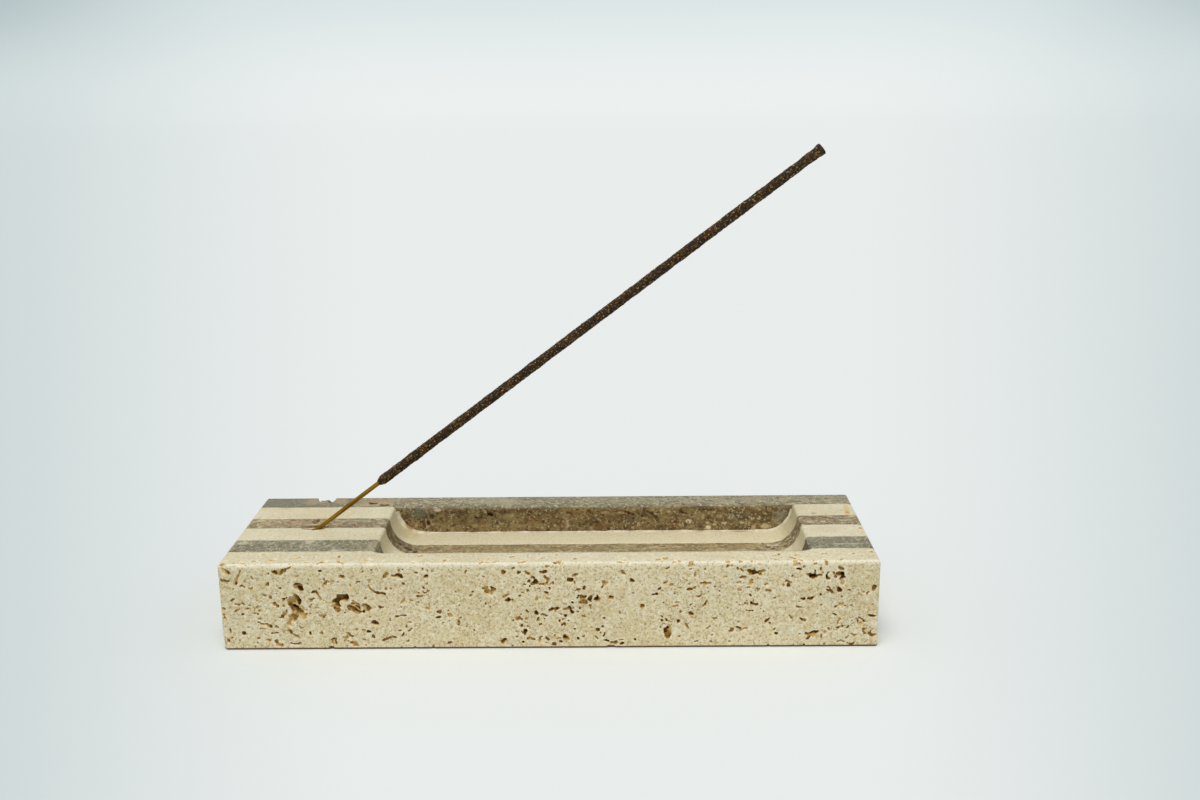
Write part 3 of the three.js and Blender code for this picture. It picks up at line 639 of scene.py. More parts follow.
# Crowds of tiny pores in the front face: centre along and up, reach along and up, and how thick
PORE_CROWDS = [
    (-92, 14, 6, 4, 0.8), (-84, 15, 4, 3, 0.9), (-72, 16, 4, 4, 0.8), (-86, 5, 8, 3, 0.9),
    (-79, 6, 3, 4, 0.9), (-56, 20, 3, 5, 0.8), (-60, 5, 8, 4, 0.8), (-68, 12, 4, 4, 0.7),
    (-40, 20, 8, 6, 0.7), (-30, 12, 5, 3, 0.6), (-23, 7, 3, 1.5, 0.8), (-38, 14, 6, 8, 0.5),
    (-5, 20, 6, 5, 0.9), (-8, 8, 5, 5, 0.9), (5, 12, 8, 5, 0.9), (4, 3, 6, 3, 0.9),
    (10, 17, 5, 4, 0.9), (17, 5, 4, 3, 0.8), (40, 20, 8, 6, 1.0), (44, 14, 6, 5, 0.9),
    (36, 8, 4, 3, 0.9), (22, 9, 1.5, 4, 0.8), (60, 16, 6, 5, 0.8), (58, 24, 3, 3, 0.8),
    (64, 20, 4, 3, 0.8), (73, 20, 3, 4, 0.8), (85, 18, 4, 3, 0.8), (90, 5, 6, 4, 1.0),
    (95, 8, 4, 5, 1.0), (95, 18, 4, 3, 0.8), (88, 14, 8, 4, 0.9), (63, 26, 14, 1.5, 0.8),
]

# Pores: size, how rare they are in quiet stone and in crowds, and how drawn out along the block
PORE_KINDS = [(0.34, 2.8, 1.6, 1.1), (0.27, 3.2, 1.95, 2.2)]

# Places where pale calcite lines the pits: along, up and reach
CALCITE = [
    (-54.4, 20.8, 1.6), (57.7, 22.4, 1.2), (37.5, 5.5, 1.6), (-91.4, 7.5, 1.2), (90.0, 3.0, 2.2),
    (-61.0, 3.0, 1.4), (73.0, 5.0, 2.0), (84.5, 15.8, 1.6), (25.0, 17.0, 1.6),
]

# Shallow ochre marks in the ground top of the front strip: width, then the line, along and across
TOP_MARKS = [
    (0.8, -98.8, -29.2, -98.0, -29.0), (0.6, -90.2, -27.2, -89.0, -27.2),
    (0.6, -85.2, -26.7, -84.0, -26.5), (0.6, -79.1, -25.2, -77.0, -25.1),
    (0.5, -76.5, -24.5, -75.6, -24.4), (0.9, -69.2, -28.2, -67.0, -28.0),
    (0.5, -64.5, -22.4, -64.0, -24.6), (0.6, -63.6, -27.0, -61.9, -29.6),
    (0.7, -55.4, -26.6, -54.0, -26.6), (0.6, -52.1, -22.7, -51.5, -22.7),
    (0.6, -88.6, -21.6, -87.5, -21.5), (0.8, -39.4, -23.4, -39.0, -23.4),
    (0.7, -31.8, -27.3, -31.3, -27.3), (0.8, -20.5, -29.0, -19.9, -29.0),
    (1.0, -11.6, -24.6, -10.5, -24.5), (0.9, -8.6, -28.8, -7.3, -28.8),
    (0.7, -1.9, -25.5, -1.5, -25.5), (1.0, 2.2, -28.8, 3.2, -28.8), (0.6, 2.0, -23.3, 2.4, -23.3),
    (0.7, 7.6, -26.4, 8.2, -26.4), (0.8, 21.1, -29.3, 21.7, -29.3), (0.7, 33.1, -27.5, 33.7, -27.5),
    (1.0, 34.9, -26.6, 35.6, -26.6), (0.8, 37.7, -29.6, 38.1, -29.6),
    (1.0, 42.7, -29.6, 43.4, -29.6), (0.8, 53.8, -29.6, 54.2, -29.6),
    (0.8, 57.6, -29.6, 58.0, -29.6), (0.8, 60.9, -29.6, 61.3, -29.6),
    (0.8, 65.9, -29.6, 66.3, -29.6), (0.7, 68.4, -24.5, 70.2, -24.4),
    (0.6, 74.4, -24.7, 76.3, -24.6), (0.6, 73.2, -26.0, 74.8, -27.6, 76.8, -29.6),
    (0.9, 73.6, -29.6, 74.4, -29.6), (0.7, 83.4, -23.9, 84.2, -23.7),
    (0.8, 83.1, -29.6, 83.6, -29.6), (0.6, 88.2, -28.1, 88.9, -28.0),
    (0.6, 92.2, -23.8, 92.8, -23.8), (0.9, 98.4, -22.3, 98.9, -22.5),
]

# Pits in the tops of the rear grey strip, the middle grey one and the cream one in front of that:
# depth, width, then the line, along and across
BACK_TOP_PITS = [(1.0, 1.5, -63.0, 24.0, -61.4, 23.6), (0.9, 1.5, -58.6, 22.4, -57.0, 22.2)]
MIDDLE_TOP_PITS = [
    (0.6, 1.6, -80.2, 1.0, -78.6, 0.8, -77.0, 0.7), (0.9, 1.4, -78.0, 1.9, -76.9, 2.3, -75.2, 2.5),
    (0.6, 1.2, -74.6, 1.6, -73.4, 1.2), (0.8, 1.4, -78.2, 6.4, -77.7, 5.3), (0.6, 1.0, -77.4, 7.4),
    (0.5, 0.6, -78.9, 3.1, -78.0, 2.9), (0.4, 0.6, -75.9, 3.5), (0.4, 0.7, -87.1, 5.9, -86.2, 5.7),
    (0.4, 0.6, -61.3, 2.8, -60.7, 2.7), (0.4, 0.6, -65.1, 3.1, -64.5, 3.0), (0.4, 0.6, -68.8, 2.3),
    (0.4, 0.5, -68.6, 7.6), (0.5, 0.8, -93.9, 1.3, -92.5, 1.2), (0.4, 0.6, 84.4, 5.6, 85.3, 5.4),
]
CREAM_TOP_PITS = [
    (0.6, 1.3, -80.2, 0.4, -78.5, -0.4, -77.0, -0.6), (0.5, 1.0, -76.0, -0.2, -74.6, 0.2),
]

# Pits in the tray's rear wall: depth, width, then the line, along and up
WALL_PITS = [
    (1.1, 1.2, -43.0, 22.0), (1.2, 0.9, -22.5, 25.1, -21.6, 24.6),
    (0.4, 0.4, -21.5, 24.5, -20.0, 23.8), (0.7, 0.9, -9.2, 24.7, -8.6, 24.5),
    (0.3, 0.4, -8.4, 24.3, -6.8, 23.2), (0.6, 0.9, -26.9, 23.5), (0.4, 0.4, -47.4, 22.6),
    (0.5, 0.6, -41.7, 24.4), (0.5, 0.5, 45.1, 22.0), (0.4, 0.5, 41.0, 23.2), (0.4, 0.5, 47.0, 22.3),
    (0.5, 0.5, 63.3, 22.8), (0.4, 0.5, 34.9, 25.3), (0.4, 0.5, 29.2, 22.3),
    (0.7, 0.6, 70.6, 27.4, 71.6, 26.5), (0.6, 1.0, 24.4, 25.2, 26.4, 24.6),
    (0.6, 0.8, 32.2, 25.2, 34.4, 23.4), (0.6, 0.7, 42.2, 25.5, 43.4, 24.9), (0.5, 0.7, 26.5, 23.1),
    (0.5, 0.7, 29.5, 24.3), (0.5, 0.8, 4.2, 25.6, 5.4, 25.0), (0.5, 0.6, -2.6, 23.6),
]


# How steeply the walls of the tiny pores fall, and how deep into the stone they are looked for
PORE_SLOPE = 1.41
PORE_REACH = 1.8


def crowding(x, z):
    """From 0 in quiet stone to 1 where tiny pores crowd, over the front face."""
    total = 0.06 * (ripple(x, 0 * x, z, 71, 22.0) + 1)
    for centre_x, centre_z, along, up, thick in PORE_CROWDS:
        total = total + thick * np.exp(
            -(((x - centre_x) / along) ** 2) - ((z - centre_z) / up) ** 2)
    return np.minimum(total, 1)


def unstained(x, y, z):
    """One in ordinary stone, and less where calcite lines the pits of the front face."""
    share = np.ones_like(x)
    for centre_x, centre_z, reach in CALCITE:
        square = (x - centre_x) ** 2 + (z - centre_z) ** 2 + (y - FRONT) ** 2
        share = share * (1 - 0.7 * np.exp(-square / reach**2))
    return share


def carve_pores(volume):
    """Cuts the tiny pores of the front face, which thin out with depth."""
    window = volume.window((LEFT - 1, FRONT - 1, -1), (RIGHT + 1, FRONT + PORE_REACH, TOP + 1))
    x, y, z = volume.places(window)
    below = np.maximum(volume.below[window], 0)
    crowd = crowding(x, z)
    for number, (size, rare, common, drawn) in enumerate(PORE_KINDS):
        blur = np.array([size * drawn, size, size]) / volume.voxel
        level = rare - (rare - common) * crowd + 0.9 * below
        pores = PORE_SLOPE * size * (clouds(below.shape, blur, 50 + number) - level)
        volume.field[window] = np.maximum(volume.field[window], pores)
        volume.gap[window] = np.minimum(volume.gap[window], -pores)


def pits_along(rows, place, first_seed):
    """Pits from rows of depth, width and a line, which place turns into points in space."""
    across = 1 if place is on_top else 2
    for number, (depth, width, *line) in enumerate(rows):
        points = [place(*pair) for pair in zip(line[::2], line[1::2])]
        yield Pit(points, width, depth, across, first_seed + 4 * number)


# Where a place on each face that has pits lies in space


def on_front(x, z):
    return (x, FRONT, z)


def on_top(x, y):
    return (x, y, TOP)


def on_wall(x, z):
    return (x, TRAY_BACK, z)


def front_top_pits():
    """The marks in the front strip's top, and small scattered ones, thickest at its front edge."""
    random = np.random.default_rng(12)
    rows = [
        (0.5, 1.1 * width, x_1, y_1 - 0.3, *rest, x_2, y_2 + 0.3)
        for width, x_1, y_1, *rest, x_2, y_2 in TOP_MARKS
    ]
    for _ in range(60):
        x, y = random.uniform(LEFT, RIGHT), FRONT + 0.3 + abs(random.normal(0.0, 2.4))
        rows.append((0.4, random.uniform(0.3, 0.6), x, y, x + random.uniform(0, 0.4), y))
    return pits_along(rows, on_top, 9000)


def worn_edge(random, number, x_range, y, z, longest, deepest):
    """Small chips along an edge that runs along the block."""
    for _ in range(number):
        long = random.uniform(0.4, longest)
        deep = random.uniform(0.15, deepest)
        centre = (random.uniform(*x_range), y, z)
        yield Chip(centre, (long, deep, deep), int(random.integers(1, 9999)))


def hollows_of(index):
    """The chips and pits of one strip."""
    random = np.random.default_rng(40 + index)
    if index == 0:
        return [
            Chip((LEFT + 18.9, BACK, TOP), (1.1, 3.6, 1.6), 1),
            Chip((LEFT + 21.0, BACK, TOP), (2.6, 2.9, 1.5), 2),
            Chip((LEFT + 22.9, BACK, TOP), (1.25, 4.6, 1.9), 3),
            Chip((-40.9, BACK, TOP - 0.2), (0.6, 0.6, 0.6), 4),
            *pits_along(BACK_TOP_PITS, on_top, 100),
            *pits_along(WALL_PITS, on_wall, 200),
            *worn_edge(random, 20, (TRAY_LEFT, TRAY_RIGHT), TRAY_BACK, 26.8, 1.4, 0.3),
            *worn_edge(random, 14, (LEFT, RIGHT), BACK - 0.2, TOP - 0.2, 1.2, 0.3),
        ]
    if index == 1:
        return [
            *worn_edge(random, 6, (LEFT, TRAY_LEFT - 2), seams[0], TOP, 1.0, 0.2),
            *worn_edge(random, 6, (LEFT, TRAY_LEFT - 2), seams[1], TOP, 1.0, 0.2),
        ]
    if index == 2:
        return [
            Chip((-49.6, 2.6, 20.2), (0.6, 0.9, 0.7), 32),
            Chip((-47.6, 1.6, 19.2), (0.8, 0.9, 0.7), 33),
            Chip((-48.6, 3.2, 19.7), (0.4, 0.6, 0.5), 34),
            Chip((-45.4, 1.9, TRAY_FLOOR), (0.5, 0.8, 0.5), 36),
            Chip((72.3, 4.2, TRAY_FLOOR), (0.9, 0.4, 0.4), 35),
            *pits_along(MIDDLE_TOP_PITS, on_top, 300),
        ]
    if index == 3:
        return [
            *pits_along(CREAM_TOP_PITS, on_top, 400),
            *worn_edge(random, 6, (LEFT, TRAY_LEFT - 2), seams[3], TOP, 1.0, 0.2),
        ]
    if index == 4:
        return [
            Chip((-97.4, seams[4] + 0.4, TOP), (1.3, 0.6, 0.5), 51),
            *worn_edge(random, 8, (LEFT, TRAY_LEFT - 2), seams[4], TOP, 1.0, 0.3),
        ]
    return [
        Chip((LEFT, FRONT, 23.3), (1.1, 1.1, 0.6), 61),
        Chip((LEFT, FRONT, 2.2), (0.8, 0.8, 2.8), 62),
        *pits_along(FRONT_PITS, on_front, 2000),
        *front_top_pits(),
        *worn_edge(random, 25, (LEFT, RIGHT), FRONT + 0.3, TOP - 0.3, 0.6, 0.32),
        *worn_edge(random, 26, (TRAY_LEFT, TRAY_RIGHT), TRAY_FRONT - 0.5, 26.9, 2.0, 0.5),
        *worn_edge(random, 8, (LEFT, TRAY_LEFT - 2), TRAY_FRONT, TOP, 1.4, 0.3),
    ]


# Materials


def rgb(red, green, blue):
    """A colour as seen on a screen, turned into the light values that Blender works with."""
    shares = [value / 255 for value in (red, green, blue)]
    linear = [s / 12.92 if s <= 0.04045 else ((s + 0.055) / 1.055) ** 2.4 for s in shares]
    return (*linear, 1.0)


# How noise is stretched: not at all, along the block a little or much, or across it
EVEN = (1, 1, 1)
DRAWN = (0.55, 1, 1)
ALONG = (0.16, 1, 1)
BROAD = (1, 0.5, 1)


class Paint:
    """A node material put together step by step. Its textures are laid out in millimetres.

    Each noise is shifted away from the one before, so the order of the noises is part of a look.
    A tone is given as red, green and blue, up to 255.
    """

    NOISE_SHIFT = 17.3
    NOISE_ROUGHNESS = 0.6
    RAGGED_SIZE = 1.1
    RAGGEDNESS = 1.6

    def __init__(self, name, roughness, specular=0.35):
        self.material = bpy.data.materials.new(name)
        self.material.use_nodes = True
        self.tree = self.material.node_tree
        self.shader = self.tree.nodes["Principled BSDF"]
        self.shader.inputs["Roughness"].default_value = roughness
        self.shader.inputs["Specular IOR Level"].default_value = specular
        place = self.put("ShaderNodeTexCoord", {}).outputs["Object"]
        self.place = self.vector("MULTIPLY", place, (1 / MM, 1 / MM, 1 / MM))
        self.shift = 0.0
        self.ragged = None

    def put(self, kind, inputs, **settings):
        """A node with its settings, whose inputs are values or the outputs of other nodes."""
        node = self.tree.nodes.new(kind)
        for name, value in settings.items():
            setattr(node, name, value)
        for socket, value in inputs.items():
            if isinstance(value, bpy.types.NodeSocket):
                self.tree.links.new(value, node.inputs[socket])
            else:
                node.inputs[socket].default_value = value
        return node

    def vector(self, operation, first, second):
        inputs = {0: first, 1: second}
        return self.put("ShaderNodeVectorMath", inputs, operation=operation).outputs[0]

    def math(self, operation, first, second=0.0):
        inputs = {0: first, 1: second}
        return self.put("ShaderNodeMath", inputs, operation=operation).outputs[0]

    def times(self, first, second):
        return self.math("MULTIPLY", first, second)

    def mix(self, share, first, second):
        inputs = {0: share, 6: first, 7: second}
        return self.put("ShaderNodeMix", inputs, data_type="RGBA").outputs[2]

    def band(self, value, low, high, result=(0.0, 1.0)):
        """Turns values from low to high smoothly into the two results."""
        inputs = {
            "Value": value,
            "From Min": low,
            "From Max": high,
            "To Min": result[0],
            "To Max": result[1],
        }
        settings = {"interpolation_type": "SMOOTHSTEP"}
        return self.put("ShaderNodeMapRange", inputs, **settings).outputs["Result"]

    def attribute(self, name):
        return self.put("ShaderNodeAttribute", {}, attribute_name=name).outputs["Fac"]

    def coordinate(self, axis):
        node = self.put("ShaderNodeSeparateXYZ", {0: self.place})
        return node.outputs["XYZ".index(axis)]

    def span(self, axis, low, high):
        """From nothing at low to one at high along an axis, or the other way round."""
        return self.band(self.coordinate(axis), low, high)

    def between(self, axis, low, high, fade):
        """One between two places along an axis, fading to nothing at both."""
        return self.times(self.span(axis, low, low + fade), self.span(axis, high, high - fade))

    def noise(self, size, stretch=EVEN, detail=3.0):
        """Clouds whose spots are about as large as size, in millimetres. No two are alike."""
        self.shift += self.NOISE_SHIFT
        moved = self.vector("ADD", self.place, (self.shift, 0.7 * self.shift, -self.shift))
        inputs = {
            "Vector": self.vector("MULTIPLY", moved, stretch),
            "Scale": 0.5 / size,
            "Detail": detail,
            "Roughness": self.NOISE_ROUGHNESS,
        }
        return self.put("ShaderNodeTexNoise", inputs).outputs["Fac"]

    def swing(self, size, stretch=EVEN):
        """A noise that swings to both sides of nothing."""
        return self.math("SUBTRACT", self.noise(size, stretch), 0.5)

    def spots(self, size, low, high, strength=(0.0, 1.0)):
        """Spots of one on nothing, or of the second strength on the first."""
        return self.band(self.noise(size), low, high, strength)

    def dots(self, size, radius):
        """One inside scattered dots, a cell of that size for each, and nothing outside."""
        inputs = {"Vector": self.place, "Scale": 1 / size}
        away = self.put("ShaderNodeTexVoronoi", inputs).outputs["Distance"]
        return self.math("LESS_THAN", away, radius)

    def near(self, centre, reach):
        """One inside an oval patch at that place, fading to nothing at its ragged rim."""
        if self.ragged is None:
            self.ragged = self.times(self.swing(self.RAGGED_SIZE), self.RAGGEDNESS)
        moved = self.vector("SUBTRACT", self.place, centre)
        scaled = self.vector("MULTIPLY", moved, tuple(1 / value for value in reach))
        away = self.put("ShaderNodeVectorMath", {0: scaled}, operation="LENGTH").outputs["Value"]
        return self.band(self.math("ADD", away, self.ragged), 1.35, 0.65)

    def clouded(self, size, stretch, low, high, first, second):
        """Clouds of two tones."""
        return self.mix(self.band(self.noise(size, stretch), low, high), rgb(*first), rgb(*second))

    def lay(self, colour, share, strength, tone):
        """Lays a tone over colour by share times strength."""
        return self.mix(self.times(share, strength), colour, rgb(*tone))

    def tint(self, colour, value, low, high, strength, tone):
        """Mixes a tone into colour where value lies above low, fully above high."""
        return self.mix(self.band(value, low, high, (0.0, strength)), colour, rgb(*tone))

    def layers(self, colour, rows):
        """Lays noise over a colour: size, stretch, low, high, strength and tone of each layer."""
        for size, stretch, *row in rows:
            colour = self.tint(colour, self.noise(size, stretch), *row)
        return colour

    def veins(self, colour, size, stretch, width, strength, tone):
        """Thin crooked lines, which run where a noise crosses its middle value."""
        away = self.math("ABSOLUTE", self.swing(size, stretch))
        return self.tint(colour, away, width, 0.15 * width, strength, tone)

    def patches(self, colour, place, rows):
        """Oval patches from a table, which place puts on one face of the block."""
        for first, second, reach_1, reach_2, strength, tone in rows:
            share = self.near(*place(first, second, reach_1, reach_2))
            colour = self.lay(colour, share, strength, tone)
        return colour

    def finish(self, colour, heights):
        """Links the colour, and a bump from (height, depth in millimetres) pairs."""
        self.tree.links.new(colour, self.shader.inputs["Base Color"])
        normal = None
        for height, depth in heights:
            inputs = {"Height": height, "Distance": depth * MM, "Strength": 1.0}
            if normal:
                inputs["Normal"] = normal
            normal = self.put("ShaderNodeBump", inputs).outputs["Normal"]
        self.tree.links.new(normal, self.shader.inputs["Normal"])
        return self.material


# Where a patch lies and how far it reaches, on each face that has some


def patch_on_top(x, y, along, across):
    return (x, y, TOP), (along, across, 2.5)


def patch_on_wall(x, z, along, up):
    return (x, TRAY_BACK, z), (along, 2.0, up)


def patch_on_front(x, z, along, up):
    return (x, FRONT, z), (along, 2.0, up)


# Heights between which light is painted onto the stone in the tray, more towards its floor
PAINTED_LIGHT_FROM, PAINTED_LIGHT_TO = 21.5, 19

# Heights between which the front face turns into the ground top
FACE_ENDS, TOP_STARTS = 26.9, 27.6


def ground_grain(paint):
    """The finest grain of ground stone."""
    return paint.noise(0.3, detail=2.0)


def stained_pits(paint, colour, shallow, middle, deep):
    """Stains the inside of the pits, more so the deeper they go."""
    uneven = paint.math("ADD", paint.attribute("pit"), paint.times(paint.swing(0.7), 0.8))
    for low, high, tone in ((0.08, 0.28, shallow), (0.4, 0.9, middle), (1.0, 2.0, deep)):
        colour = paint.tint(colour, uneven, low, high, 0.85, tone)
    return colour


def cream_pits(paint, colour):
    """Brown hollows, crumbly at the rim, ochre inside; the pale outside is part calcite, part
    painted highlight.
    """
    # Pale rims round the pits: partly calcite, partly a highlight painted on their lit edges.
    rim = paint.times(paint.attribute("rim"), paint.spots(0.8, 0.38, 0.6))
    colour = paint.lay(colour, rim, 0.9, (246, 238, 210))
    colour = stained_pits(paint, colour, (204, 163, 70), (151, 109, 34), (106, 75, 22))
    depth = paint.attribute("pit")
    upper = paint.times(paint.band(depth, 0.12, 0.3), paint.band(depth, 1.5, 0.7))
    crumbs = paint.times(upper, paint.spots(0.55, 0.53, 0.6))
    colour = paint.lay(colour, crumbs, 0.6, (224, 206, 156))
    # Darker spots deeper in the pits.
    dark_deep_spots = paint.times(paint.band(depth, 0.3, 0.6), paint.spots(0.5, 0.54, 0.6))
    return paint.lay(colour, dark_deep_spots, 0.6, (84, 58, 24))


def cream_drift(paint):
    """Broad clouds, with which the tone of cream stone drifts."""
    return paint.band(paint.noise(8.0, (0.5, 1, 1)), 0.32, 0.68)


def cream_layers(contrast, warmth):
    """The marks in cream stone, from broad to fine."""
    return [
        (1.8, ALONG, 0.50, 0.72, 0.30 * contrast, (200, 184, 138)),
        (2.6, DRAWN, 0.52, 0.70, 0.35 * contrast, (234, 226, 196)),
        (1.1, DRAWN, 0.54, 0.70, 0.35 * contrast, (192, 175, 126)),
        (3.6, DRAWN, 0.55, 0.72, warmth, (204, 176, 118)),
        (0.5, EVEN, 0.53, 0.61, 0.80 * contrast, (243, 236, 208)),
        (0.45, EVEN, 0.54, 0.62, 0.75 * contrast, (180, 157, 104)),
        (0.35, EVEN, 0.55, 0.63, 0.80 * contrast, (160, 135, 84)),
    ]


def pore_dots(paint, colour):
    """Pores too small to be cut, as dark dots where pores crowd, and the dents they make."""
    dents = []
    for size, radius, tone in [(0.75, 0.33, (160, 124, 62)), (0.5, 0.30, (146, 112, 56))]:
        crowd = paint.times(paint.attribute("crowd"), paint.spots(1.6, 0.36, 0.6))
        dots = paint.dots(size, paint.times(crowd, radius))
        colour = paint.lay(colour, dots, 0.7, tone)
        dents.append((paint.times(dots, -1.0), 0.1))
    return colour, dents


def dark_lip(paint, colour):
    """A darker line along the eased front lip of the tray: painted shade, with the brown of chips.
    """
    line = paint.between("Y", TRAY_FRONT - 2.6, TRAY_FRONT - 0.9, 0.6)
    line = paint.times(line, paint.band(paint.noise(2.0, DRAWN), 0.44, 0.56, (0.1, 0.65)))
    in_tray = paint.between("X", TRAY_LEFT, TRAY_RIGHT, 2)
    on_lip = paint.times(in_tray, paint.span("Z", 25.6, 26.2))
    return paint.lay(colour, line, on_lip, (124, 104, 68))


def front_stone():
    """The cream strip at the front, full of pores, whose ground top is paler than its face."""
    paint = Paint("cream_stone_front", roughness=0.42, specular=0.32)
    drift = cream_drift(paint)
    face = paint.mix(drift, rgb(222, 205, 158), rgb(234, 219, 178))
    top = paint.mix(drift, rgb(211, 201, 162), rgb(223, 215, 180))
    colour = paint.mix(paint.span("Z", FACE_ENDS, TOP_STARTS), face, top)
    # A highlight painted along the front top arris.
    painted_arris_highlight = paint.span("Y", FRONT + 1.3, FRONT + 0.7)
    colour = paint.lay(colour, paint.span("Z", 26.7, 27.2), painted_arris_highlight, (242, 233, 206))
    top = paint.layers(colour, cream_layers(0.45, 0.25))
    face = paint.layers(colour, cream_layers(0.85, 0.4))
    colour = paint.mix(paint.span("Z", TOP_STARTS, FACE_ENDS), top, face)
    colour = paint.patches(colour, patch_on_front, FRONT_PATCHES)
    colour, dents = pore_dots(paint, colour)
    colour = dark_lip(paint, cream_pits(paint, colour))
    # A dark brown line along the foot of the strip: painted contact shadow, with brown stain.
    colour = paint.tint(colour, paint.coordinate("Z"), 0.75, 0.5, 0.95, (92, 62, 26))
    return paint.finish(colour, [(ground_grain(paint), 0.035), *dents])


def inner_cream_stone():
    """The two cream strips between the grey ones, quieter than the front one."""
    paint = Paint("cream_stone_inner", roughness=0.42, specular=0.32)
    colour = paint.mix(cream_drift(paint), rgb(210, 199, 160), rgb(222, 213, 180))
    # Painted light on the stone towards the tray's floor.
    colour = paint.tint(colour, paint.coordinate("Z"), PAINTED_LIGHT_FROM, PAINTED_LIGHT_TO, 0.9, (237, 226, 190))
    colour = paint.layers(colour, cream_layers(0.33, 0.12))
    bend = paint.near((-47.5, 17.5, 22.0), (4.2, 6.0, 4.2))
    bend = paint.times(bend, paint.span("Z", 27.2, 26.0))
    colour = paint.lay(colour, bend, 0.5, (206, 184, 128))
    colour = cream_pits(paint, paint.patches(colour, patch_on_top, CREAM_PATCHES))
    return paint.finish(colour, [(ground_grain(paint), 0.03)])


def grey_stone(name, dark, light, layers):
    """Grey brown travertine, speckled and faintly veined."""
    paint = Paint(name, roughness=0.44, specular=0.3)
    colour = paint.clouded(5.0, (0.45, 1, 1), 0.36, 0.64, dark, light)
    return paint, paint.layers(colour, layers)


def finish_grey(paint, colour):
    """Ends a grey stone with its grain and the stains in its pits."""
    grain = ground_grain(paint)
    colour = stained_pits(paint, colour, (120, 92, 54), (92, 62, 32), (56, 38, 20))
    return paint.finish(colour, [(grain, 0.03)])


# Patches of another tone: their middle and their reach, both along and then across on a top, or
# along and then up on a wall or face, followed by strength and tone
BACK_PATCHES = [
    (-61.0, 23.2, 5.6, 2.0, 0.6, (186, 156, 104)),
    (-82.3, 25.6, 3.4, 3.0, 0.6, (174, 148, 108)), (-73.5, 26.0, 2.2, 3.0, 0.6, (170, 144, 104)),
    (-61.0, 26.0, 5.6, 2.6, 0.45, (166, 142, 104)), (56.0, 25.0, 1.8, 3.0, 0.5, (172, 152, 114)),
    (66.0, 25.5, 4.6, 2.6, 0.4, (170, 150, 112)), (-94.0, 24.0, 4.0, 4.0, 0.5, (112, 108, 90)),
    (-20.0, 25.0, 9.0, 4.0, 0.4, (168, 160, 130)),
]
WALL_PATCHES = [
    (-45.3, 25.8, 4.4, 2.4, 0.85, (112, 117, 98)), (-49.0, 21.6, 3.2, 1.7, 0.6, (150, 118, 82)),
    (-41.7, 24.4, 0.9, 0.8, 0.85, (78, 40, 24)), (-43.0, 22.0, 1.3, 1.2, 0.8, (176, 156, 116)),
    (-47.5, 22.5, 1.4, 1.3, 0.6, (160, 138, 98)), (-15.0, 21.0, 7.5, 0.7, 0.6, (164, 146, 102)),
    (-17.4, 25.9, 1.6, 0.9, 0.6, (70, 54, 30)), (2.1, 21.8, 1.9, 1.5, 0.6, (126, 88, 42)),
    (6.6, 25.6, 1.9, 1.2, 0.6, (130, 90, 44)), (11.6, 25.6, 1.6, 1.1, 0.55, (124, 88, 44)),
    (40.6, 21.4, 1.2, 1.0, 0.55, (160, 104, 46)), (49.4, 20.6, 1.2, 1.0, 0.6, (84, 48, 26)),
    (19.4, 26.0, 2.6, 0.6, 0.55, (100, 66, 36)), (23.2, 24.3, 2.4, 0.6, 0.55, (100, 66, 36)),
    (31.4, 24.9, 2.2, 0.8, 0.55, (98, 64, 36)), (25.8, 22.8, 2.0, 1.3, 0.5, (112, 108, 86)),
    (61.0, 24.0, 3.4, 2.4, 0.5, (116, 114, 92)), (78.0, 24.0, 2.4, 4.0, 0.6, (128, 128, 110)),
    (-39.6, 27.1, 3.8, 0.5, 0.6, (160, 84, 56)),
]
WALL_SPECKS = [
    (-27.4, 20.9, 1.0, 0.6, 0.7, (184, 166, 124)), (-0.2, 20.9, 0.5, 0.5, 0.7, (200, 186, 146)),
    (4.2, 21.4, 0.4, 0.6, 0.7, (200, 186, 146)), (51.8, 19.9, 0.9, 0.8, 1.0, (240, 228, 196)),
    (51.5, 21.4, 0.7, 0.4, 0.9, (212, 196, 158)), (53.9, 20.9, 0.7, 0.4, 0.9, (212, 196, 158)),
    (57.2, 21.3, 0.9, 0.5, 0.9, (212, 196, 158)), (63.2, 21.4, 0.7, 0.5, 0.9, (206, 190, 150)),
    (55.3, 23.9, 0.6, 0.5, 0.9, (204, 186, 148)), (71.0, 20.2, 1.7, 0.8, 0.9, (206, 190, 150)),
    (67.0, 20.0, 0.7, 0.4, 0.9, (200, 182, 142)), (68.7, 22.9, 0.8, 0.5, 0.9, (200, 182, 142)),
    (45.1, 22.0, 0.9, 0.8, 0.9, (222, 212, 186)), (38.4, 25.6, 0.7, 0.5, 0.9, (200, 180, 138)),
    (-39.8, 26.6, 1.0, 0.5, 0.9, (228, 204, 184)), (17.2, 25.5, 1.2, 0.5, 0.7, (190, 172, 130)),
]
MIDDLE_PATCHES = [
    (-82.5, 5.0, 8.0, 2.6, 0.4, (170, 140, 98)), (-77.9, 6.0, 2.2, 1.8, 0.5, (164, 126, 84)),
    (-96.4, 7.6, 1.6, 1.0, 0.7, (206, 192, 152)), (-77.7, 3.7, 2.6, 0.6, 0.7, (188, 186, 140)),
    (-63.2, 6.9, 2.4, 0.9, 0.5, (180, 176, 134)), (-55.9, 4.8, 1.6, 1.2, 0.6, (192, 180, 144)),
    (-86.7, 5.8, 1.6, 1.0, 0.6, (172, 134, 86)), (-64.0, 3.0, 4.4, 1.2, 0.45, (160, 126, 88)),
    (-92.5, 2.4, 3.2, 1.8, 0.4, (168, 136, 96)), (-77.0, 1.4, 3.6, 1.8, 0.75, (104, 66, 36)),
    (84.8, 5.5, 1.4, 0.9, 0.7, (90, 72, 48)), (83.6, 4.8, 2.4, 1.4, 0.4, (192, 164, 132)),
    (87.5, 3.7, 1.0, 0.5, 0.8, (222, 214, 190)),
]
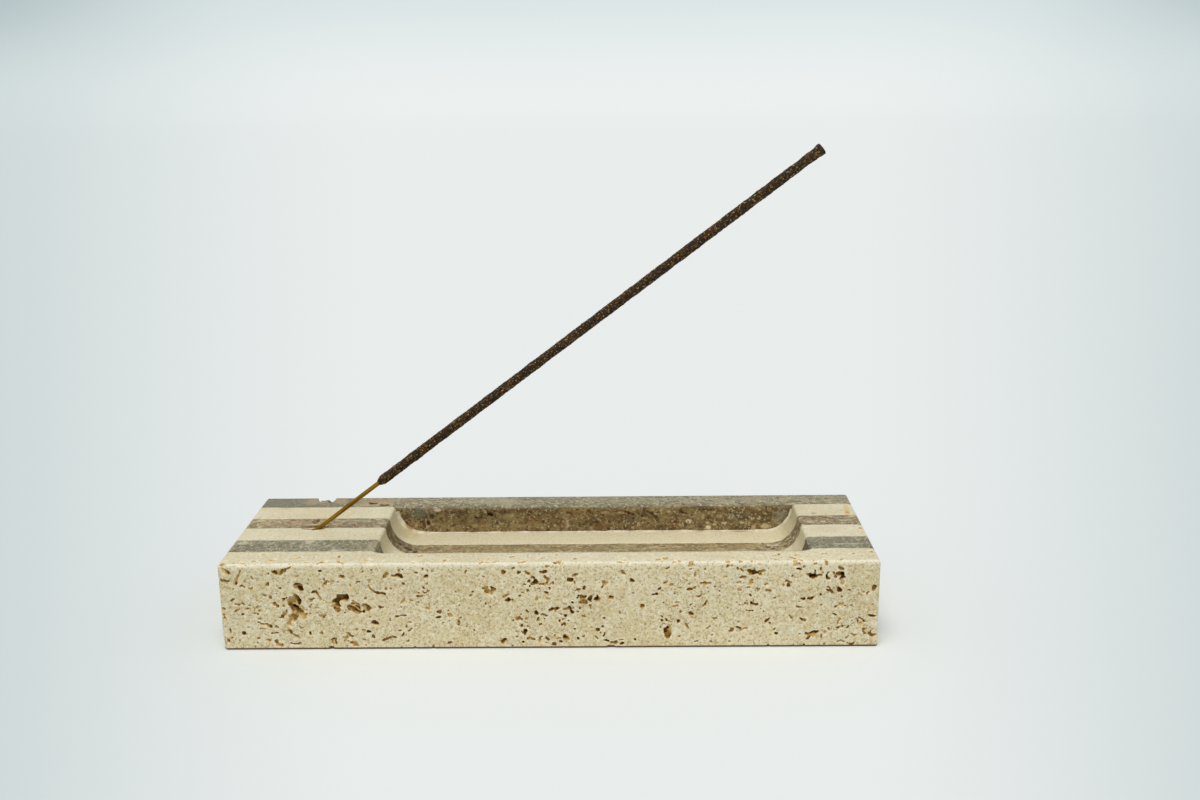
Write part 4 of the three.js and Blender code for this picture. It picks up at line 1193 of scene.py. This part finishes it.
CREAM_PATCHES = [
    (-77.4, -0.6, 3.2, 0.7, 0.7, (128, 88, 50)), (-92.0, 19.3, 3.4, 1.0, 0.4, (200, 178, 128)),
    (85.7, 11.0, 0.7, 0.6, 0.8, (178, 120, 82)), (87.7, 15.1, 2.6, 1.8, 0.5, (222, 198, 166)),
    (97.4, 16.0, 0.8, 3.6, 0.55, (206, 176, 96)), (96.9, 11.2, 0.8, 3.0, 0.55, (206, 172, 92)),
    (97.1, 11.9, 0.6, 0.7, 0.9, (190, 124, 50)), (87.0, -3.6, 5.6, 2.8, 0.35, (196, 178, 136)),
    (98.75, -2.7, 0.7, 0.7, 0.8, (196, 136, 66)),
]
FRONT_GREY_PATCHES = [
    (-97.0, -12.4, 1.8, 1.4, 0.7, (196, 188, 158)), (-76.0, -11.2, 1.3, 1.9, 0.7, (198, 188, 156)),
    (-98.4, -17.0, 1.0, 1.2, 0.6, (176, 146, 92)), (-66.3, -18.8, 1.4, 0.6, 0.8, (212, 204, 178)),
    (-55.5, -14.5, 2.0, 3.0, 0.45, (170, 150, 120)), (90.0, -15.0, 8.0, 4.0, 0.35, (112, 108, 82)),
    (92.0, -16.0, 4.4, 0.6, 0.6, (186, 180, 150)),
]
FRONT_PATCHES = [
    (-81.6, 25.6, 1.9, 0.7, 0.6, (130, 92, 32)), (-54.4, 20.8, 2.2, 1.6, 0.5, (226, 216, 184)),
    (57.7, 22.4, 1.8, 1.2, 0.6, (228, 218, 186)), (37.5, 5.5, 2.4, 1.6, 0.6, (228, 218, 186)),
    (-91.4, 7.5, 2.2, 1.2, 0.6, (228, 218, 188)), (90.0, 3.0, 3.4, 1.4, 0.5, (226, 216, 184)),
    (-61.0, 3.0, 2.6, 1.4, 0.5, (226, 216, 184)), (73.0, 5.0, 3.0, 2.0, 0.45, (226, 216, 184)),
    (84.5, 15.8, 3.0, 1.6, 0.45, (226, 216, 184)), (25.0, 17.0, 2.4, 2.0, 0.45, (226, 216, 184)),
]


def rear_wall(paint):
    """The tray's rear wall: mottled brown, with rust marks, pale specks and a painted sheen."""
    colour = paint.clouded(2.4, DRAWN, 0.36, 0.62, (118, 96, 58), (154, 134, 90))
    colour = paint.patches(colour, patch_on_wall, WALL_PATCHES)
    colour = paint.layers(colour, [
        (1.4, DRAWN, 0.51, 0.62, 0.60, (88, 68, 38)),
        (1.8, DRAWN, 0.56, 0.66, 0.45, (140, 98, 50)),
        (0.8, DRAWN, 0.54, 0.64, 0.45, (176, 158, 114)),
        (0.5, EVEN, 0.55, 0.62, 0.75, (60, 44, 24)),
        (0.45, EVEN, 0.57, 0.64, 0.75, (206, 190, 148)),
    ])
    colour = paint.patches(colour, patch_on_wall, WALL_SPECKS)
    crowd = paint.times(paint.span("X", 30, 50), paint.spots(2.0, 0.42, 0.58))
    dots = paint.dots(1.1, paint.times(crowd, 0.24))
    colour = paint.lay(colour, dots, 0.85, (216, 202, 166))
    # A painted sheen near the right end of the wall.
    sheen = paint.near((75.6, 20.0, 24.0), (2.2, 3.0, 4.4))
    sheen = paint.times(sheen, paint.spots(0.8, 0.42, 0.56))
    return paint.lay(colour, sheen, 0.7, (166, 160, 138))


def back_stone():
    """The rear grey strip, whose wall of the tray is darker and browner."""
    paint, colour = grey_stone("grey_stone_back", (120, 111, 80), (146, 136, 102), [
        (2.2, DRAWN, 0.55, 0.66, 0.55, (164, 140, 98)),
        (1.2, DRAWN, 0.51, 0.62, 0.60, (98, 89, 62)),
        (0.9, DRAWN, 0.53, 0.63, 0.60, (180, 170, 134)),
        (0.6, DRAWN, 0.54, 0.62, 0.80, (82, 72, 48)),
        (0.45, EVEN, 0.55, 0.62, 0.80, (200, 190, 154)),
    ])
    colour = paint.tint(colour, paint.coordinate("X"), -66.0, -84.0, 0.62, (98, 93, 72))
    colour = paint.patches(colour, patch_on_top, BACK_PATCHES)
    wall = paint.times(paint.span("Y", 20.9, 20.35), paint.span("Z", 27.5, 26.7))
    wall = paint.times(wall, paint.between("X", TRAY_LEFT - 0.6, TRAY_RIGHT + 0.6, 1.0))
    return finish_grey(paint, paint.mix(wall, colour, rear_wall(paint)))


def middle_stone():
    """The grey strip of the hole, with tan patches round its pits and marks in the tray's bends."""
    paint, colour = grey_stone("grey_stone_middle", (128, 111, 70), (150, 135, 92), [
        (2.4, DRAWN, 0.55, 0.67, 0.50, (172, 140, 94)),
        (1.6, DRAWN, 0.51, 0.60, 0.75, (100, 81, 48)),
        (1.0, DRAWN, 0.53, 0.62, 0.70, (192, 176, 130)),
        (0.7, DRAWN, 0.53, 0.61, 0.85, (80, 60, 30)),
        (0.5, EVEN, 0.56, 0.63, 0.80, (212, 196, 152)),
    ])
    # Painted light on the stone towards the tray's floor.
    colour = paint.tint(colour, paint.coordinate("Z"), PAINTED_LIGHT_FROM, PAINTED_LIGHT_TO, 0.22, (200, 180, 132))
    in_tray = paint.span("Z", 27.4, 26.4)
    bend = paint.times(paint.span("X", -43, -46), in_tray)
    colour = paint.lay(colour, bend, paint.spots(0.9, 0.40, 0.56, (0.2, 0.65)), (92, 76, 52))
    for spot in [(-50.5, 5.2, 20.4), (-48.5, 4.6, 19.2), (-47.3, 4.2, 18.8), (-45.2, 3.0, 18.5)]:
        colour = paint.lay(colour, paint.near(spot, (0.75, 0.8, 0.75)), 0.85, (44, 32, 18))
    far_bend = paint.times(paint.span("X", 66, 69), in_tray)
    for size, tone in [(1.1, (210, 203, 184)), (0.8, (84, 70, 48))]:
        colour = paint.lay(colour, far_bend, paint.spots(size, 0.54, 0.62, (0.0, 0.8)), tone)
    return finish_grey(paint, paint.patches(colour, patch_on_top, MIDDLE_PATCHES))


def front_grey_stone():
    """The coolest grey strip, with a network of pale veins."""
    paint, colour = grey_stone("grey_stone_front", (110, 103, 70), (132, 125, 90), [
        (1.6, BROAD, 0.51, 0.62, 0.45, (94, 88, 64)),
        (0.8, BROAD, 0.54, 0.64, 0.60, (168, 162, 130)),
        (0.6, EVEN, 0.54, 0.62, 0.80, (78, 72, 50)),
        (0.45, EVEN, 0.56, 0.63, 0.75, (196, 190, 160)),
    ])
    colour = paint.veins(colour, 1.7, BROAD, 0.022, 0.6, (192, 186, 156))
    # Painted shade where this strip lies below its top, down in the tray.
    in_tray = paint.times(
        paint.span("X", TRAY_LEFT + 0.2, TRAY_LEFT + 1.2), paint.span("Z", 27.6, 26.8))
    colour = paint.lay(colour, in_tray, 0.75, (66, 60, 44))
    return finish_grey(paint, paint.patches(colour, patch_on_top, FRONT_GREY_PATCHES))


def glue_material():
    """Pale cured glue, stained brown at one place in the tray's corner."""
    paint = Paint("cured_stone_glue", roughness=0.4)
    colour = paint.clouded(1.2, EVEN, 0.35, 0.65, (206, 196, 164), (236, 229, 206))
    stain = paint.near((-49.4, TRAY_BACK, 21.6), (1.4, 2.0, 1.9))
    colour = paint.lay(colour, stain, 0.8, (176, 136, 78))
    return paint.finish(colour, [(paint.noise(0.5), 0.05)])


def bamboo_material():
    """Split bamboo: fine fibres along the stick, which lies along its own X."""
    paint = Paint("split_bamboo", roughness=0.6, specular=0.2)
    fibres = paint.noise(0.2, (0.05, 1, 1))
    colour = paint.mix(paint.band(fibres, 0.38, 0.62), rgb(106, 76, 0), rgb(156, 117, 2))
    colour = paint.layers(colour, [(3.0, (0.5, 1, 1), 0.5, 0.7, 0.5, (112, 76, 2))])
    return paint.finish(colour, [(fibres, 0.06)])


def coating_material():
    """Dark hand rolled paste, full of gold, tan and red brown crumbs of wood and resin."""
    paint = Paint("incense_paste", roughness=0.75, specular=0.25)
    colour = paint.clouded(0.7, EVEN, 0.36, 0.64, (28, 20, 8), (54, 39, 17))
    colour = paint.layers(colour, [
        (0.40, (0.8, 1, 1), 0.59, 0.65, 0.85, (142, 98, 30)),
        (0.32, (0.8, 1, 1), 0.59, 0.65, 0.80, (106, 60, 22)),
        (0.28, (0.8, 1, 1), 0.60, 0.65, 0.85, (186, 152, 84)),
    ])
    return paint.finish(colour, [(paint.noise(0.35), 0.16)])


# The strips, each with its material and the size of its grid cells

cream_inner = inner_cream_stone()
STONE_MATERIALS = [
    back_stone(),
    cream_inner,
    middle_stone(),
    cream_inner,
    front_grey_stone(),
    front_stone(),
]
VOXELS = [0.25, 0.3, 0.25, 0.3, 0.25, 0.25]

for index, name in enumerate(STRIPS):
    piece = stone_strip(index, VOXELS[index], hollows_of(index))
    piece.data.materials.append(STONE_MATERIALS[index])


# Glue lines: thin films, almost flush with the ground stone


# Their height above the table, their share of the glue line's width, how far their upper edge is
# sunk, and by how much that varies
FILM_FOOT = 0.1
FILM_SHARE = 0.8
FILM_SUNK = 0.05
FILM_WAVE = 0.03

# How far below the axis of the tray's round ends the outline starts and stops
TRAY_LINE_DROP = 0.5

# The bead of glue in the tray: its size, and its corners as shares of that, into the wall and up
BEAD_SIZE = 0.36
BEAD_CORNERS = [(0.15, -0.15), (0.15, 1.0), (-0.3, 0.3), (-1.0, -0.15)]


def tray_end(x, start, stop):
    """The round end of the tray whose axis is at x, as points along and up."""
    middle = TRAY_FLOOR + TRAY_END_RADIUS
    return [
        (x + TRAY_END_RADIUS * math.cos(turn), middle + TRAY_END_RADIUS * math.sin(turn))
        for turn in np.linspace(start, stop, 17)
    ]


def tray_line():
    """The tray's outline from its left lip to its right one, as points along and up."""
    left = TRAY_LEFT + TRAY_END_RADIUS
    right = TRAY_RIGHT - TRAY_END_RADIUS
    short = math.asin(TRAY_LINE_DROP / TRAY_END_RADIUS)
    points = tray_end(left, math.pi + short, 1.5 * math.pi)
    points += [(x, TRAY_FLOOR) for x in np.arange(left + 1, right, 1.0)]
    return points + tray_end(right, 1.5 * math.pi, 2 * math.pi - short)


def eased_corner(x, radius, side):
    """A quarter turn from the ground top down into the tray, at the tray's end at x."""
    turns = np.linspace(0, math.pi / 2, 7)
    return [
        (x + side * radius * (math.cos(turn) - 1), TOP - radius * (1 - math.sin(turn)))
        for turn in turns
    ]


def top_line():
    """The block's upper outline along the tray, as points along and up, from left to right."""
    points = [(x, TOP) for x in np.arange(LEFT + 0.4, TRAY_LEFT - LEFT_LIP, 1.0)]
    points += reversed(eased_corner(TRAY_LEFT, LEFT_LIP, 1))
    points += [place for place in tray_line() if place[1] < TOP - RIGHT_LIP]
    points += eased_corner(TRAY_RIGHT, RIGHT_LIP, -1)
    points += [(x, TOP) for x in np.arange(TRAY_RIGHT + RIGHT_LIP + 0.5, RIGHT - 0.4, 1.0)]
    return points


def swept(points, count):
    """Faces of a closed tube, whose points are given in rings of count that follow each other."""
    last = len(points) - count
    faces = [tuple(range(count)), tuple(reversed(range(last, last + count)))]
    for start in range(0, last, count):
        for side in range(count):
            after = (side + 1) % count
            faces.append((start + side, start + count + side, start + count + after, start + after))
    return faces


def film_points(index):
    """The corners of a film, four at each place along the block."""
    for x, z in top_line():
        top = z - (FILM_SUNK + FILM_WAVE * float(ripple(x, 0.0, z, 700 + index, 6.0)))
        for height, side in ((FILM_FOOT, 1), (top, 1), (top, -1), (FILM_FOOT, -1)):
            yield (x, float(seam_at(index, x, height)) + side * FILM_SHARE * HALF_GLUE, height)


def bead_size(x, z):
    """The size of the bead, which is uneven and grows towards both ends of the tray."""
    slow = 0.16 * float(ripple(x, 0.0, z, 761, 9.0))
    quick = 0.1 * float(ripple(x, 0.0, z, 762, 2.6))
    ends = 0.3 * float(smooth_step(x, 62, 72)) + 0.9 * float(smooth_step(-x, 41, 50))
    return BEAD_SIZE + slow + quick + ends


def bead_points():
    """A bead of squeezed out glue in the corner below the tray's rear wall."""
    line = tray_line()[1:-1]
    for number, (x, z) in enumerate(line):
        before, after = line[max(number - 1, 0)], line[min(number + 1, len(line) - 1)]
        way = math.atan2(after[1] - before[1], after[0] - before[0])
        size = bead_size(x, z)
        for inward, up in BEAD_CORNERS:
            rise = up * size
            yield (x - math.sin(way) * rise, TRAY_BACK + inward * size, z + math.cos(way) * rise)


def glue_film(index):
    """One glue line, with the bead in the tray's corner where it is the first."""
    name = f"glue_line_{index + 1}_{index + 2}"
    points = list(film_points(index))
    faces = swept(points, 4)
    if index == 0:
        bead = list(bead_points())
        start = len(points)
        faces += [tuple(start + corner for corner in face) for face in swept(bead, 4)]
        points += bead
    piece = object_from(name + "_film", points, faces)
    piece.data.materials.append(glue)
    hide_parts(name)
    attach(piece, "block")


glue = glue_material()
for index in range(len(seams)):
    glue_film(index)


# The incense stick, made along X from its foot and then laid along its hole

BAMBOO_SIDES = 20
COATING_SIDES = 36

# The coating's radius at its lower end, by how much it grows from there, and over what length
COATING_START, COATING_GROWTH, COATING_TAPER = 1.0, 0.52, 1.9

# How much wider the tip is, and where along the coating that begins and ends
TIP_FLARE = 0.32
FLARE_FROM, FLARE_TO = COATING_LENGTH - 3.2, COATING_LENGTH - 0.6

# The last rings of the tip: distance from its end, and radius as a share of the full one
TIP_RINGS = [(0.38, 0.97), (0.2, 0.9), (0.08, 0.76), (0.01, 0.5)]


def ringed_rod(name, stations, sides, wobble):
    """A closed rod along X. Each station gives a place and a radius."""
    turns = np.arange(sides) * 2 * np.pi / sides
    points, faces = [(stations[0][0], 0.0, 0.0)], []
    for x, radius in stations:
        y, z = np.cos(turns), np.sin(turns)
        grown = radius + wobble(x, radius * y, radius * z)
        points += [(x, a, b) for a, b in zip(grown * y, grown * z)]
    points.append((stations[-1][0], 0.0, 0.0))
    end = len(points) - 1
    for side in range(sides):
        after = (side + 1) % sides
        faces.append((0, 1 + after, 1 + side))
        for ring in range(len(stations) - 1):
            low, high = 1 + ring * sides, 1 + (ring + 1) * sides
            faces.append((low + side, low + after, high + after, high + side))
        last = 1 + (len(stations) - 1) * sides
        faces.append((last + side, last + after, end))
    piece = object_from(name, points, faces)
    place = Matrix.Rotation(-STICK_ELEVATION, 4, "Y")
    place.translation = Vector(HOLE_MOUTH + STICK_AXIS * STICK_FOOT) * MM
    piece.matrix_world = place
    piece.data.shade_smooth()
    return piece


def bamboo_wobble(x, y, z):
    """Fibres along the stick, and a slow change in its thickness."""
    fibres = 0.035 * ripple(0.02 * x, y, z, 301, 0.9)
    return fibres + 0.03 * ripple(x, 0 * y, 0 * z, 302, 14.0)


def coating_wobble(x, y, z):
    """Lumps of three sizes."""
    lumps = 0.07 * ripple(x, y, z, 311, 2.6) + 0.06 * ripple(x, y, z, 312, 1.1)
    return lumps + 0.05 * ripple(x, y, z, 313, 0.6)


bamboo_stations = [(0.0, 0.45), (0.25, 0.68)]
bamboo_stations += [(x, BAMBOO_RADIUS - 0.02) for x in np.arange(1.0, BAMBOO_BARE + 170, 1.0)]
bamboo = ringed_rod("bamboo_core_split", bamboo_stations, BAMBOO_SIDES, bamboo_wobble)
bamboo.data.materials.append(bamboo_material())
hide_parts("bamboo_core")
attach(bamboo, "stick")


def coating_radius(along):
    """The coating's radius at a distance from its lower end: a taper, a rod and a flared tip."""
    taper = COATING_START + COATING_GROWTH * smooth_step(along, 0.0, COATING_TAPER)
    return taper + TIP_FLARE * smooth_step(along, FLARE_FROM, FLARE_TO)


coating_stations = [(BAMBOO_BARE, 0.82)]
for along in np.arange(0.15, COATING_LENGTH - 0.4, 0.28):
    coating_stations.append((BAMBOO_BARE + along, float(coating_radius(along))))
tip = float(coating_radius(COATING_LENGTH))
for back, share in TIP_RINGS:
    coating_stations.append((BAMBOO_BARE + COATING_LENGTH - back, tip * share))
coating = ringed_rod("incense_coating_rolled", coating_stations, COATING_SIDES, coating_wobble)
coating.data.materials.append(coating_material())
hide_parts("incense_coating")
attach(coating, "stick")


# The floor, which rises into a backdrop all round, the light and the camera


# The floor is flat out to a radius, then bends up on another radius by some degrees
FLOOR_FLAT, FLOOR_BEND, FLOOR_RISE = 3000.0, 1500.0, 50
FLOOR_SIDES = 96

# The whitest lane of the floor, a painted pool of light which widens away from the camera: its
# middle, the place where it would begin, and its least width
LANE_MIDDLE, LANE_START, LANE_LEAST = 20.0, 450.0, 250.0

# How bright the room is as light, and as seen directly or in a reflection
ROOM_LIGHT, SEEN_LIGHT = 0.48, 0.95

# The lamp's width in degrees, its strength, its colour and the way it shines
LAMP_WIDTH = 36
LAMP_STRENGTH = 1.62
LAMP_COLOUR = (1.0, 0.985, 0.96)
LAMP_WAY = (0.06, 0.30, -1.0)

# The camera fitted to the photo: its place, its turns in degrees, its lens and sensor
CAMERA_PLACE = (20.72, -392.26, 178.17)
CAMERA_HEADING, CAMERA_DOWN, CAMERA_ROLL = 0.712, 15.359, -0.641
CAMERA_LENS, CAMERA_SENSOR = 38.87, 36


def backdrop_material():
    """Painted light falloff: whitest in the lane, greyer beside it and up the walls, most in their
    corners.
    """
    paint = Paint("backdrop_painted_falloff", roughness=0.9, specular=0.0)
    aside = paint.math("ABSOLUTE", paint.math("SUBTRACT", paint.coordinate("X"), LANE_MIDDLE))
    width = paint.math("MAXIMUM", paint.math("ADD", paint.coordinate("Y"), LANE_START), LANE_LEAST)
    aside = paint.math("DIVIDE", aside, width)
    colour = paint.mix(paint.band(aside, 0.16, 0.56), rgb(238, 242, 241), rgb(207, 218, 219))
    # Painted shade up the walls and most in their corners.
    colour = paint.tint(colour, paint.coordinate("Z"), 0.0, 420.0, 0.55, (206, 221, 224))
    corner = paint.band(aside, 0.26, 0.6)
    colour = paint.lay(colour, paint.span("Z", 60.0, 400.0), corner, (160, 176, 181))
    return paint.finish(colour, [(paint.noise(3.0), 0.01)])


def stage_bowl():
    """A wide flat floor that curves up into a low wall on every side."""
    rings = [(radius, 0.0) for radius in (0.0, 150.0, 400.0, 1000.0, 2000.0, FLOOR_FLAT)]
    for turn in np.linspace(0, math.radians(FLOOR_RISE), 16)[1:]:
        rings.append((FLOOR_FLAT + FLOOR_BEND * math.sin(turn), FLOOR_BEND * (1 - math.cos(turn))))
    points, faces = [(0.0, 0.0, 0.0)], []
    for radius, height in rings[1:]:
        for turn in np.arange(FLOOR_SIDES) * 2 * np.pi / FLOOR_SIDES:
            points.append((radius * math.cos(turn), radius * math.sin(turn), height))
    for side in range(FLOOR_SIDES):
        after = (side + 1) % FLOOR_SIDES
        faces.append((0, 1 + side, 1 + after))
        for ring in range(len(rings) - 2):
            low, high = 1 + ring * FLOOR_SIDES, 1 + (ring + 1) * FLOOR_SIDES
            faces.append((low + side, high + side, high + after, low + after))
    bowl = object_from("floor_and_backdrop", points, faces)
    bowl.data.shade_smooth()
    bowl.data.materials.append(backdrop_material())


def pale_room():
    """Even light from all round, which looks brighter than it shines."""
    world = bpy.data.worlds.new("pale room")
    world.use_nodes = True
    bpy.context.scene.world = world
    nodes, links = world.node_tree.nodes, world.node_tree.links
    background = nodes["Background"]
    background.inputs["Color"].default_value = rgb(250, 252, 255)
    paths = nodes.new("ShaderNodeLightPath")
    seen = nodes.new("ShaderNodeMath")
    seen.operation = "MAXIMUM"
    links.new(paths.outputs["Is Camera Ray"], seen.inputs[0])
    links.new(paths.outputs["Is Glossy Ray"], seen.inputs[1])
    strength = nodes.new("ShaderNodeMapRange")
    strength.inputs["To Min"].default_value = ROOM_LIGHT
    strength.inputs["To Max"].default_value = SEEN_LIGHT
    links.new(seen.outputs[0], strength.inputs["Value"])
    links.new(strength.outputs["Result"], background.inputs["Strength"])


def soft_lamp():
    """One large soft lamp above and in front of the block."""
    lamp = bpy.data.lights.new("large soft lamp", "SUN")
    lamp.angle = math.radians(LAMP_WIDTH)
    lamp.energy = LAMP_STRENGTH
    lamp.color = LAMP_COLOUR
    placed = bpy.data.objects.new("large soft lamp", lamp)
    placed.rotation_euler = Vector(LAMP_WAY).to_track_quat("-Z", "Y").to_euler()
    bpy.context.scene.collection.objects.link(placed)


def photo_camera():
    """The camera, from which the render lies over the photo."""
    camera = bpy.data.cameras.new("camera")
    camera.sensor_width = CAMERA_SENSOR
    camera.lens = CAMERA_LENS
    placed = bpy.data.objects.new("camera", camera)
    turned = (
        Matrix.Rotation(math.radians(CAMERA_HEADING), 4, "Z")
        @ Matrix.Rotation(math.radians(90 - CAMERA_DOWN), 4, "X")
        @ Matrix.Rotation(math.radians(CAMERA_ROLL), 4, "Z")
    )
    turned.translation = Vector(CAMERA_PLACE) * MM
    placed.matrix_world = turned
    bpy.context.scene.collection.objects.link(placed)
    bpy.context.scene.camera = placed


stage_bowl()
pale_room()
soft_lamp()
photo_camera()
bpy.context.scene.view_settings.view_transform = "Standard"
